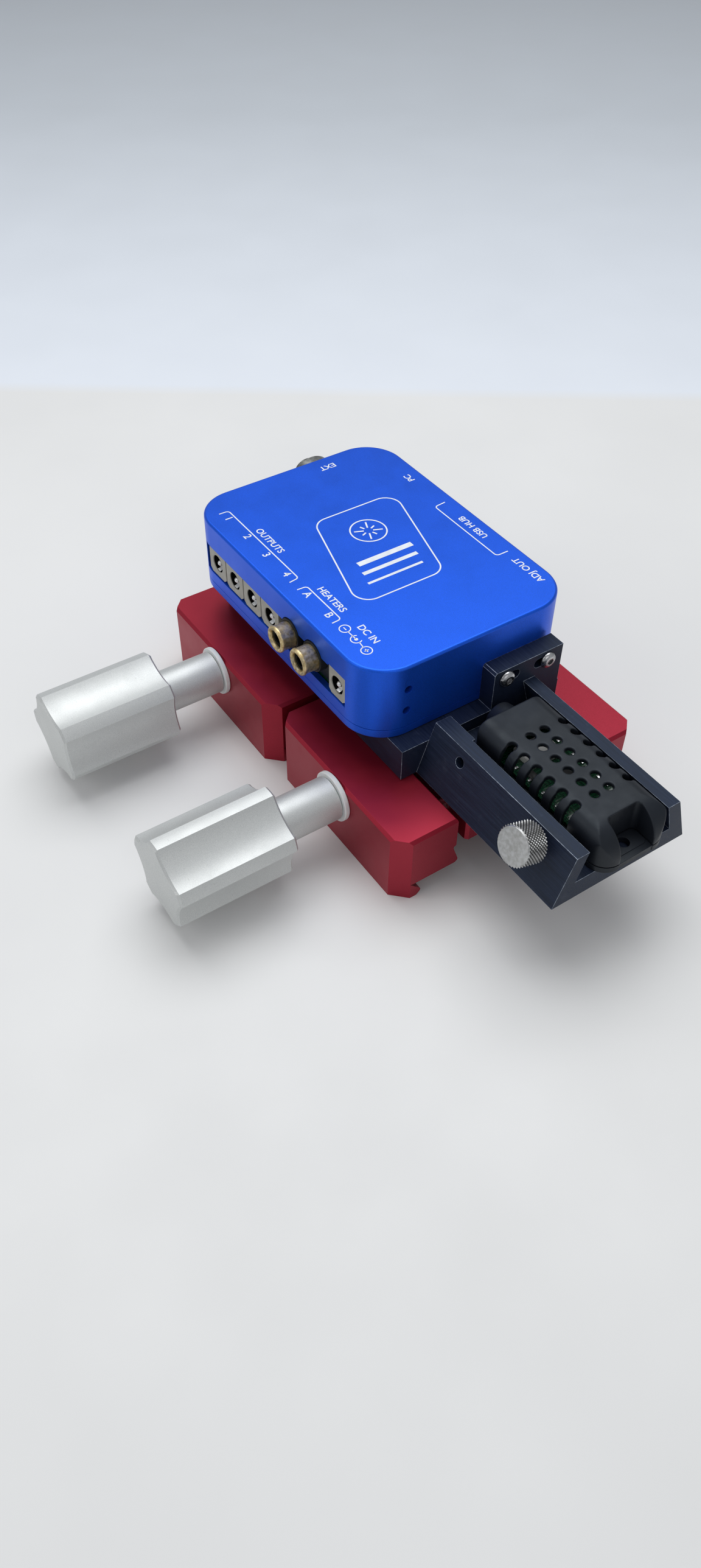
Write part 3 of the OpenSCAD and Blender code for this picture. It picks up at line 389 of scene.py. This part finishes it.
def moulded(node, cell):
    """A CAD node's shape with every edge and corner melted by about a cell, like a thick moulding."""
    bm = node_bmesh(node)
    bmesh.ops.triangulate(bm, faces=bm.faces)
    obj = piece(node + "_moulded", bm, SLOT_OF[node], BODY_OF[node], node, sharp=180)
    remesh = obj.modifiers.new("cells", "REMESH")
    remesh.mode = "VOXEL"
    remesh.voxel_size = cell
    remesh.use_smooth_shade = True
    ease = obj.modifiers.new("ease", "SMOOTH")
    ease.factor = 0.5
    ease.iterations = 4
    thin = obj.modifiers.new("thin", "DECIMATE")
    thin.ratio = 0.3
    return obj


def ring_loft(rings, closed_ends=True):
    """A skin over rings of equally many points, each a list of vectors."""
    bm = bmesh.new()
    loops = [[bm.verts.new(p) for p in ring] for ring in rings]
    count = len(rings[0])
    for a, b in zip(loops, loops[1:]):
        for k in range(count):
            bm.faces.new((a[k], a[(k + 1) % count], b[(k + 1) % count], b[k]))
    if closed_ends:
        bm.faces.new(loops[0])
        bm.faces.new(loops[-1][::-1])
    return bm


def lathe(profile, axis_frame, steps=64):
    """A turned shape: profile holds (radius, height) points, axis_frame places its Z axis."""
    bm = bmesh.new()
    rings = []
    for radius, height in profile:
        if radius == 0:
            rings.append([bm.verts.new(axis_frame @ Vector((0, 0, height)))])
        else:
            around = (2 * math.pi * k / steps for k in range(steps))
            rings.append([
                bm.verts.new(axis_frame @ Vector((radius * math.cos(a), radius * math.sin(a), height)))
                for a in around])
    for a, b in zip(rings, rings[1:]):
        for k in range(steps):
            n = (k + 1) % steps
            corners = [a[k % len(a)], a[n % len(a)], b[n % len(b)], b[k % len(b)]]
            corners = [v for i, v in enumerate(corners) if v not in corners[:i]]
            if len(corners) > 2:
                bm.faces.new(corners)
    return bm


def facing(origin, direction):
    """A frame whose Z axis points along direction from origin."""
    turn = Vector((0, 0, 1)).rotation_difference(Vector(direction)).to_matrix().to_4x4()
    return Matrix.Translation(origin) @ turn


def tube(points, radius, sides=8):
    """A round wire along points, with flat ends."""
    rings = []
    up = None
    for i, p in enumerate(points):
        ahead = points[min(i + 1, len(points) - 1)] - points[max(i - 1, 0)]
        ahead.normalize()
        if up is None:
            up = ahead.orthogonal().normalized()
        up = (up - ahead * up.dot(ahead)).normalized()
        side = ahead.cross(up)
        rings.append([p + radius * (math.cos(a) * up + math.sin(a) * side)
                      for a in (2 * math.pi * k / sides for k in range(sides))])
    return ring_loft(rings)


def joined(meshes):
    """One bmesh made of several, which are freed."""
    whole = bmesh.new()
    for bm in meshes:
        scratch = bpy.data.meshes.new("scratch")
        bm.to_mesh(scratch)
        bm.free()
        whole.from_mesh(scratch)
        bpy.data.meshes.remove(scratch)
    return whole


# ---------------------------------------------------------------- saddle and jaws

def saddle_and_jaws():
    """The saddle, its two jaws, and the washers, pins and threaded rods that join them."""
    for node in ("saddle_body", "front_jaw", "rear_jaw"):
        softened(node, 0.3 * MM)
    for node in ("front_knob_washer", "rear_knob_washer"):
        softened(node, 0.35 * MM, 3)
    for node in ("front_guide_pins", "rear_guide_pins", "front_clamp_screw", "rear_clamp_screw"):
        softened(node, 0.2 * MM)


def jaw_spring(side):
    """The opening spring, from the jaw to the plate, at one fixed length."""
    node = side + "_jaw_spring"
    low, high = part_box(node)
    axis = Vector((0, (low.y + high.y) / 2, (low.z + high.z) / 2))
    wire = 0.45 * MM
    radius = (high.z - low.z) / 2 - wire
    start, end = low.x + wire, high.x - wire
    turns, steps = 5.5, 220
    # the end turns lie nearly flat: each takes coil_end of the wire but only rise_end of the length
    coil_end, rise_end = 0.15, 0.03
    points = []
    for i in range(steps + 1):
        t = i / steps
        if t < coil_end:
            along = rise_end * t / coil_end
        elif t > 1 - coil_end:
            along = 1 - rise_end * (1 - t) / coil_end
        else:
            along = rise_end + (1 - 2 * rise_end) * (t - coil_end) / (1 - 2 * coil_end)
        angle = 2 * math.pi * turns * t
        points.append(Vector((start + (end - start) * along, axis.y + radius * math.cos(angle),
                              axis.z + radius * math.sin(angle))))
    spring = piece(node + "_coil", tube(points, wire), "screw_steel", None, node)
    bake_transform(spring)


# ---------------------------------------------------------------- knobs

LOBES = 5
KNOB_R = 15.5 * MM
GRIP_LENGTH = 40.2 * MM
NECK_R = 7.45 * MM
LAND_W = 4.6 * MM
FLUTE_R = 18.2 * MM
FLUTE_OFF = 30.5 * MM
LAND_STEPS, FLUTE_STEPS = 4, 16
# how far each knob's first lobe is turned about its screw, in degrees
KNOB_TURNS = {"front": 16.5, "rear": 67.0}


def knob_outline(inset):
    """Points of a lobed knob's section, drawn in by inset: narrow lands with hollow flutes between."""
    points = []
    half_land = math.asin(LAND_W / 2 / KNOB_R)
    r, flute_r = KNOB_R - inset, FLUTE_R + inset
    # half the angle of a flute's arc, which runs from one lobe's land to the next one's
    reach = math.acos((FLUTE_OFF ** 2 + flute_r ** 2 - r ** 2) / (2 * FLUTE_OFF * flute_r))
    for lobe in range(LOBES):
        middle = 2 * math.pi * lobe / LOBES
        for k in range(LAND_STEPS + 1):
            a = middle - half_land + 2 * half_land * k / LAND_STEPS
            points.append(Vector((r * math.cos(a), r * math.sin(a))))
        flute = middle + math.pi / LOBES
        centre = FLUTE_OFF * Vector((math.cos(flute), math.sin(flute)))
        for k in range(1, FLUTE_STEPS):
            a = flute + math.pi + reach * (1 - 2 * k / FLUTE_STEPS)
            points.append(centre + flute_r * Vector((math.cos(a), math.sin(a))))
    return points


def knob(side):
    """A lobed grip with chamfered ends and rounded lobe edges, and a round neck."""
    node = side + "_knob"
    low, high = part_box(node)
    axis = JOINTS[side + "_knob_turn"]["pos_m"]
    end = low.x
    grip = end + GRIP_LENGTH
    chamfer, ease = 0.7 * MM, 0.12 * MM
    turn = math.radians(KNOB_TURNS[side])
    c, s = math.cos(turn), math.sin(turn)

    def ring(x, inset):
        return [Vector((x, axis[1] + p.x * c - p.y * s, axis[2] + p.x * s + p.y * c))
                for p in knob_outline(inset)]

    def along_a_lobe(edge):
        """Whether an edge runs along the grip, clear of its chamfers."""
        near, far = sorted(v.co.x for v in edge.verts)
        return far - near > 0.5 * MM and near > end + 0.5 * chamfer and far < grip - 0.5 * chamfer

    # an eased chamfer at each end: how far in from the end, and how far the section is drawn in there
    eased = [(0, chamfer), (ease, chamfer * 0.86), (chamfer * 0.86, ease), (chamfer, 0)]
    stations = [(end + depth, inset) for depth, inset in eased]
    stations += [(end + 12 * MM, 0), (end + 26 * MM, 0)]
    stations += [(grip - depth, inset) for depth, inset in reversed(eased)]
    bm = ring_loft([ring(x, inset) for x, inset in stations])
    bevel_edges(bm, 0.45 * MM, 3, 24, keep=along_a_lobe)
    # the neck's heights run from the grip towards its free end, so its root is below zero
    root = grip - high.x
    sunk, edge = 1 * MM, 0.4 * MM
    bore, bore_depth = 4.3 * MM, 3 * MM
    profile = [(0, sunk), (NECK_R, sunk), (NECK_R, root + edge), (NECK_R - edge, root),
               (bore, root), (bore, root + bore_depth), (0, root + bore_depth)]
    neck = lathe(profile, facing((grip, axis[1], axis[2]), (-1, 0, 0)), 72)
    piece(node + "_grip", joined([bm, neck]), SLOT_OF[node], BODY_OF[node], node)


# ---------------------------------------------------------------- bracket and its screws

def bracket():
    """The printed bracket, its bolts, and the small metal parts set in it."""
    softened("bracket", 0.25 * MM, 2, 28)
    softened("bracket_bolts", 0.2 * MM)
    softened("tab_screws", 0.12 * MM, 2, 35)
    softened("thumb_insert", 0.1 * MM)
    softened("thumb_screw_tip", 0.1 * MM)


def thumb_screw():
    """Diamond-knurled head with a turned face and chamfered rims, and a threaded shank."""
    joint = JOINTS["thumb_screw_turn"]
    place = facing(joint["pos_m"], -Vector(joint["axis"]))
    # heights run from the cradle's wall: first the gap under the head, then the head
    gap, thick = 2.4 * MM, 8.0 * MM
    top = gap + thick
    radius, depth = 6.45 * MM, 0.46 * MM
    knurl_start, knurl_length = gap + 0.7 * MM, thick - 1.3 * MM
    teeth, rows, per_tooth = 36, 6, 6
    steps = teeth * per_tooth

    def circle(r, h):
        return [(r, h)] * steps

    def knurl(level):
        """Two sets of crossing grooves leave pyramids with blunt tips."""
        ring = []
        for k in range(steps):
            u, v = k / per_tooth, level / per_tooth
            rise = min(1.0, 1.1 * min(abs((u + v * way) % 1 - 0.5) * 2 for way in (1, -1)))
            ring.append((radius - depth * (1 - rise), knurl_start + knurl_length * v / rows))
        return ring

    # the threaded shank has a chamfered end and grows into the head's underside
    pitch, crest, root, low = 0.7 * MM, 2.0 * MM, 1.62 * MM, -6.0 * MM
    end_r = 1.4 * MM
    levels = int((gap - low) / pitch * 6)
    shank = []
    for i in range(levels + 1):
        h = low + (gap - low) * i / levels
        wave = [root + (crest - root) * abs((h / pitch - k / steps) % 1 - 0.5) * 2 for k in range(steps)]
        shank.append([(min(r, end_r + h - low), h) for r in wave])
    rim, cap, chamfer = radius - depth, radius - 0.55 * MM, 0.45 * MM
    rings = shank + [circle(crest, gap), circle(rim - 0.4 * MM, gap), circle(rim, gap + chamfer)]
    rings += [knurl(level) for level in range(rows * per_tooth + 1)]
    rings += [circle(rim, top - chamfer), circle(cap, top - 0.12 * MM), circle(cap - 0.1 * MM, top),
              circle(cap - 0.5 * MM, top)]
    around = [2 * math.pi * k / steps for k in range(steps)]
    bm = ring_loft([[place @ Vector((r * math.cos(a), r * math.sin(a), h))
                     for a, (r, h) in zip(around, ring)] for ring in rings])
    # the trace layer carries painted shade, stronger the deeper a point lies in a knurl groove
    layer = bm.loops.layers.float_color.new(TRACE_LAYER)
    back = place.inverted()
    for face in bm.faces:
        for loop in face.loops:
            at = back @ loop.vert.co
            groove_shade = min(1, max(0, (radius - at.xy.length) / depth))
            groove_shade *= gap + 0.5 * MM < at.z < top - 0.5 * MM
            loop[layer] = (groove_shade, groove_shade, groove_shade, 1)
    piece("thumb_screw_knurled", bm, "thumb_metal", "thumb_screw", "thumb_screw", sharp=20)


# ---------------------------------------------------------------- power box

# how far the marks stand above the box's top, and how deep their undersides are sunk into it
RAISED = 0.03 * MM
SUNK = 0.2 * MM


def power_box():
    """The cover keeps the CAD's own rounding at its top edge, so only lower edges are softened."""
    softened("box_cover", 0.15 * MM, 2, 40,
             keep=lambda e: max(v.co.z for v in e.verts) < BOX_TOP - 0.5 * MM)
    softened("box_base", 0.15 * MM)
    for node in ("base_screws", "board_screws"):
        softened(node, 0.1 * MM)


def strip(points, width, closed=False):
    """A thin raised line of even width through points on the box's top."""
    bm = bmesh.new()
    count = len(points)
    rows = []
    for i, p in enumerate(points):
        before = points[i - 1] if (closed or i) else p
        after = points[(i + 1) % count] if (closed or i < count - 1) else p
        into, out = (p - before), (after - p)
        into = into.normalized() if into.length else out.normalized()
        out = out.normalized() if out.length else into
        bend = (into + out).normalized()
        across = Vector((-bend.y, bend.x))
        half = width / 2 / max(0.5, bend.dot(into))
        rows.append((p + across * half, p - across * half))
    z0, z1 = BOX_TOP - SUNK, BOX_TOP + RAISED
    rings = [[bm.verts.new((q.x, q.y, z)) for q, z in ((a, z0), (a, z1), (b, z1), (b, z0))]
             for a, b in rows]
    pairs = list(zip(rings, rings[1:])) + ([(rings[-1], rings[0])] if closed else [])
    for a, b in pairs:
        for k in range(4):
            bm.faces.new((a[k], a[(k + 1) % 4], b[(k + 1) % 4], b[k]))
    if not closed:
        bm.faces.new(rings[0])
        bm.faces.new(rings[-1][::-1])
    return bm


def arc(centre, radius, start, end, steps):
    """Points along an arc between two angles in degrees."""
    angles = [math.radians(start + (end - start) * k / steps) for k in range(steps + 1)]
    return [Vector((centre[0] + radius * math.cos(a), centre[1] + radius * math.sin(a))) for a in angles]


def rounded_path(corners, radius, steps=8, closed=False):
    """The points of a polyline with its corners rounded."""
    count = len(corners)
    out = []
    for i, p in enumerate(corners):
        if not closed and i in (0, count - 1):
            out.append(p)
            continue
        a = (corners[i - 1] - p).normalized()
        b = (corners[(i + 1) % count] - p).normalized()
        half = a.angle(b) / 2
        reach = radius / math.tan(half)
        centre = p + (a + b).normalized() * (radius / math.sin(half))
        first, last = p + a * reach - centre, p + b * reach - centre
        out += [centre + first.lerp(last, k / steps).normalized() * radius for k in range(steps + 1)]
    return out


def lettering(text, x, y, size, turn=-90):
    """A plain word or figure on the top. At -90 degrees it is read from the -X side."""
    half, fatter = 0.1 * MM, 0.045 * MM
    curve = bpy.data.curves.new("mark_" + text, "FONT")
    curve.body = text
    curve.size = size
    curve.align_x = "CENTER"
    curve.align_y = "CENTER"
    curve.extrude = half
    curve.offset = fatter
    obj = bpy.data.objects.new("mark_" + text, curve)
    scene.collection.objects.link(obj)
    bpy.context.view_layer.update()
    mesh = bpy.data.meshes.new_from_object(obj.evaluated_get(bpy.context.evaluated_depsgraph_get()))
    bpy.data.objects.remove(obj)
    place = Matrix.Translation((x, y, BOX_TOP + RAISED - half))
    mesh.transform(place @ Matrix.Rotation(math.radians(turn), 4, "Z"))
    bm = bmesh.new()
    bm.from_mesh(mesh)
    bpy.data.meshes.remove(mesh)
    return bm


def top_marks():
    """The marks on the box's top: brackets, figures and plain words beside the sockets, the input's
    polarity, and a leaning frame that holds a plain emblem."""
    def p(x, y):
        return Vector((x * MM, y * MM))

    def line(start, end, width):
        return strip([start, end], width * MM)

    def ring(centre, radius, steps, width):
        return strip(arc(centre, radius, 0, 360, steps)[:-1], width * MM, closed=True)

    brackets = ([p(-33.6, 56.9), p(-30.0, 56.8), p(-30.0, 12.2), p(-33.6, 11.7)],
                [p(-33.6, 7.2), p(-30.1, 7.0), p(-30.1, -12.5), p(-33.5, -12.7)],
                [p(34.9, 21.0), p(30.4, 20.6), p(30.4, -13.0), p(35.1, -13.0)])
    marks = [strip(rounded_path(corners, 1.2 * MM), 0.42 * MM) for corners in brackets]
    outline = [p(-9.4, 35.2), p(23.5, 35.2), p(11.3, -10.0), p(-21.9, -10.0)]
    marks.append(strip(rounded_path(outline, 5.5 * MM, 10, closed=True), 0.5 * MM, closed=True))

    # polarity: minus, a dot in an open ring, plus, on one line
    minus, middle, plus = p(-31.7, -17.0), p(-31.6, -23.0), p(-31.9, -29.0)
    ring_r, arm, wire, thin = 1.75, 0.75, 0.36, 0.34
    for centre in (minus, plus):
        marks.append(ring(centre, ring_r * MM, 28, wire))
        marks.append(line(centre - p(0, arm), centre + p(0, arm), thin))
    marks.append(line(plus - p(arm, 0), plus + p(arm, 0), thin))
    marks.append(strip(arc(middle, ring_r * MM, 50, 310, 22), wire * MM))
    marks.append(ring(middle, 0.3 * MM, 14, 0.6))
    marks.append(line(minus - p(0, ring_r), middle + p(0, 0.3), thin))
    marks.append(line(middle - p(0, ring_r), plus + p(0, ring_r), thin))

    # the emblem: a ring with eight rays, long and short in turn, over three bars that get thinner
    hub = p(3.4, 21.5)
    marks.append(ring(hub, 6.2 * MM, 48, 0.5))
    for k in range(8):
        a = math.radians(45 * k + 22.5)
        ray = Vector((math.cos(a), math.sin(a))) * MM
        marks.append(line(hub + ray * 1.6, hub + ray * (4.9 if k % 2 else 3.4), 0.55))
    for k in range(3):
        left, right, y = -10.2 - 1.45 * k, 11.2 - 1.45 * k, 7.6 - 5.0 * k
        marks.append(line(p(left, y), p(right, y), 2.2 - 0.6 * k))

    figures = [("1", 52.9), ("2", 40.5), ("3", 28.4), ("4", 15.9), ("A", 3.4), ("B", -8.8)]
    marks += [lettering(text, -32.2 * MM, y * MM, 3.9 * MM) for text, y in figures]
    words = [("OUTPUTS", -27.2, 34.5, -90), ("HEATERS", -27.2, -2.8, -90), ("DC IN", -27.2, -23.0, -90),
             ("USB HUB", 34.0, 4.0, 90), ("ADJ OUT", 34.2, -24.5, 90), ("PC", 33.6, 40.0, 90),
             ("EXT", 13.4, 61.8, 180)]
    marks += [lettering(text, x * MM, y * MM, 3.5 * MM, turn) for text, x, y, turn in words]
    piece("box_top_marks", joined(marks), "tongue_white", "saddle", material=ETCH)


# ---------------------------------------------------------------- sockets

def sockets():
    """The power sockets: five in the -X wall and the adjustable one in the +X wall."""
    for node in ("output_socket_1", "output_socket_2", "output_socket_3", "output_socket_4",
                 "input_socket", "adjustable_socket"):
        softened(node, 0.18 * MM)
    for node in ("output_socket_pins", "input_socket_pin", "adjustable_socket_pin"):
        softened(node, 0.05 * MM)
    for name in ("output_1", "output_2", "output_3", "output_4", "input"):
        socket_inside(name, -1)
    socket_inside("adjustable_output", 1)


def socket_inside(name, side):
    """A black lining of a power socket's recess, darker than its plastic and without sheen to paint the recess's
    shade, and the bent contact spring in it.

    side is -1 for a socket that faces -X and 1 for one that faces +X."""
    face = MOUNTS[name]
    inward = Vector((-side, 0, 0))
    place = facing(face + inward * 0.35 * MM, inward)
    outer, inner, pin_hole = 3.13 * MM, 3.0 * MM, 1.2 * MM
    length, floor = 9.0 * MM, 8.8 * MM
    profile = [(inner, 0), (outer, 0), (outer, length), (pin_hole, length), (pin_hole, floor),
               (inner, floor), (inner, 0)]
    piece(name + "_lining", lathe(profile, place, 48), "black_nylon", "saddle", material=RECESS_SHADE)
    # a leaf that rises towards the pin near the mouth: depth and drop below the axis, in mm
    leaf = [(0.3, 2.75), (1.1, 2.55), (2.0, 1.75), (2.8, 1.65), (4.4, 2.5), (8.4, 2.75)]
    half, thick = 0.85 * MM, 0.22 * MM
    rings = []
    for depth, drop in leaf:
        p = face + inward * depth * MM - Vector((0, 0, drop * MM))
        rings.append([p + Vector((0, y, z))
                      for y, z in ((-half, 0), (half, 0), (half, thick), (-half, thick))])
    piece(name + "_contact", ring_loft(rings), "socket_metal", "saddle")


def heater_sockets():
    """Two metal barrels with rolled rims in a black housing."""
    softened("heater_block", 0.3 * MM)
    for letter in "ab":
        node = "heater_barrel_" + letter
        low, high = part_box(node)
        centre = (low + high) / 2
        place = facing((low.x, centre.y, centre.z), (1, 0, 0))
        rim, bore = (high.z - low.z) / 2, 3.0 * MM
        barrel = rim - 0.2 * MM
        length = high.x - low.x
        profile = [(bore, 0.9 * MM), (bore + 0.1 * MM, 0.45 * MM), (bore + 0.35 * MM, 0.14 * MM),
                   (bore + 0.75 * MM, 0), (rim - 0.5 * MM, 0.06 * MM), (rim - 0.16 * MM, 0.3 * MM),
                   (rim, 0.7 * MM), (rim, 1.1 * MM), (barrel, 1.5 * MM),
                   (barrel, length), (bore, length), (bore, 0.9 * MM)]
        piece(node + "_rolled", lathe(profile, place, 72), SLOT_OF[node], BODY_OF[node], node, sharp=50)
    # the liners take the painted shade's black
    softened("heater_liners", 0.25 * MM).data.materials[0] = RECESS_SHADE


def far_side_ports():
    """The data sockets in the +X wall and the round screw port in the +Y wall."""
    for node in ("usb_stack_1", "usb_stack_2", "data_port"):
        softened(node, 0.2 * MM)
    for node in ("usb_tongues", "data_port_tongue"):
        softened(node, 0.12 * MM)
    softened("accessory_port_nut", 0.3 * MM)
    for node in ("accessory_port_shell", "accessory_port_insert"):
        softened(node, 0.15 * MM)


# ---------------------------------------------------------------- sensor

def sensor():
    """The vented cover, its base and the cable gland."""
    moulded("sensor_cover", 0.25 * MM)
    softened("sensor_base", 0.25 * MM)
    softened("sensor_gland", 0.35 * MM, 3)


def sensor_board_parts():
    """The white humidity element, the chips and the rows of small parts on the sensor's board."""
    low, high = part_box("sensor_board")
    middle = (low + high) / 2

    def chips(places):
        """Softened blocks, in mm: x and y from the board's middle, then width, length and height."""
        made = []
        for x, y, w, length, h in places:
            bm = bmesh.new()
            bmesh.ops.create_cube(bm, size=1)
            bm.transform(Matrix.Translation((middle.x + x * MM, middle.y + y * MM, high.z + h * MM / 2))
                         @ Matrix.Diagonal((w * MM, length * MM, h * MM, 1)))
            bevel_edges(bm, 0.15 * MM)
            made.append(bm)
        return joined(made)

    dark = [(0, -2, 6, 5, 1.4), (5.5, -10, 4, 3, 1.2), (-7.5, 3, 2.5, 4, 1)]
    small = [(-9.2, -16 + 3.1 * k, 1.3, 0.9, 0.5) for k in range(10)]
    small += [(8.9, -15 + 3.7 * k, 0.9, 1.5, 0.5) for k in range(8)]
    piece("sensor_chips", chips(dark), "chip_parts", "sensor", "sensor_parts")
    piece("sensor_element", chips([(0, 10, 12, 9, 2.4)]), "chip_parts", "sensor", material=ELEMENT_WHITE)
    piece("sensor_small_parts", chips(small), "socket_metal", "sensor")


def remaining_nodes():
    """Every CAD node that is still shown takes its slot's material and smooth shading."""
    for name, obj in frame["nodes"].items():
        if obj.hide_render:
            continue
        obj.data.materials.clear()
        obj.data.materials.append(MATERIALS[SLOT_OF[name]])
        smooth_by_angle(obj.data)


# ---------------------------------------------------------------- studio

CAMERA_PLACE = Vector((-0.18726, -0.24819, 0.29320))
CAMERA_TARGET = Vector((-0.04703, -0.04354, 0.03))
CAMERA_ROLL = math.radians(-0.78)
CAMERA_LENS_MM = 26.965
# place, point looked at, size, watts and colour of each soft light
LIGHTS = {
    "overhead": ((0.14, 0.28, 0.95), (0, 0, 0.02), (1.06, 0.80), 7.0, (0.975, 0.99, 1.0)),
    "left_fill": ((-0.95, 0.25, 0.75), (0, 0, 0.03), (0.7, 0.6), 1.6, (1.0, 0.99, 0.975)),
    "near_fill": ((-0.25, -0.95, 0.80), (0, -0.05, 0.0), (0.9, 0.7), 1.5, (1.0, 0.99, 0.98)),
}


def looking(place, target):
    """The rotation that points a camera's or a light's -Z axis from place to target."""
    return (Vector(target) - Vector(place)).to_track_quat("-Z", "Y")


def studio():
    """A pale floor, the camera, a big soft light above and behind, and two weak ones."""
    camera_data = bpy.data.cameras.new("camera")
    camera = bpy.data.objects.new("camera", camera_data)
    scene.collection.objects.link(camera)
    aim = looking(CAMERA_PLACE, CAMERA_TARGET).to_matrix().to_4x4()
    camera.matrix_world = (Matrix.Translation(CAMERA_PLACE) @ aim
                           @ Matrix.Rotation(-CAMERA_ROLL, 4, "Z"))
    camera_data.lens = CAMERA_LENS_MM
    camera_data.sensor_width = 36
    camera_data.sensor_fit = "AUTO"
    camera_data.clip_start = 0.01
    scene.camera = camera

    # the floor's own Y axis runs away from the camera, and it lies a hair below the object's feet
    view = CAMERA_TARGET - CAMERA_PLACE
    bm = bmesh.new()
    bmesh.ops.create_grid(bm, x_segments=8, y_segments=8, size=3)
    mesh = bpy.data.meshes.new("studio_floor")
    bm.to_mesh(mesh)
    bm.free()
    floor = bpy.data.objects.new("studio_floor", mesh)
    scene.collection.objects.link(floor)
    floor.location.z = -0.02 * MM
    floor.rotation_euler.z = math.atan2(view.y, view.x) - math.pi / 2
    mesh.materials.append(studio_floor())

    for name, (place, target, size, watts, color) in LIGHTS.items():
        light = bpy.data.lights.new(name, "AREA")
        light.shape = "RECTANGLE"
        light.size, light.size_y = size
        light.energy = watts
        light.color = color
        obj = bpy.data.objects.new(name, light)
        scene.collection.objects.link(obj)
        obj.location = place
        obj.rotation_euler = looking(place, target).to_euler()

    world = bpy.data.worlds.new("world")
    scene.world = world
    world.use_nodes = True
    background = world.node_tree.nodes["Background"]
    background.inputs["Color"].default_value = (0.93, 0.96, 1.0, 1)
    background.inputs["Strength"].default_value = 0.38
    scene.view_settings.view_transform = "Standard"


studio()
saddle_and_jaws()
jaw_spring("front")
jaw_spring("rear")
knob("front")
knob("rear")
bracket()
thumb_screw()
power_box()
top_marks()
sockets()
heater_sockets()
far_side_ports()
sensor()
sensor_board_parts()
remaining_nodes()
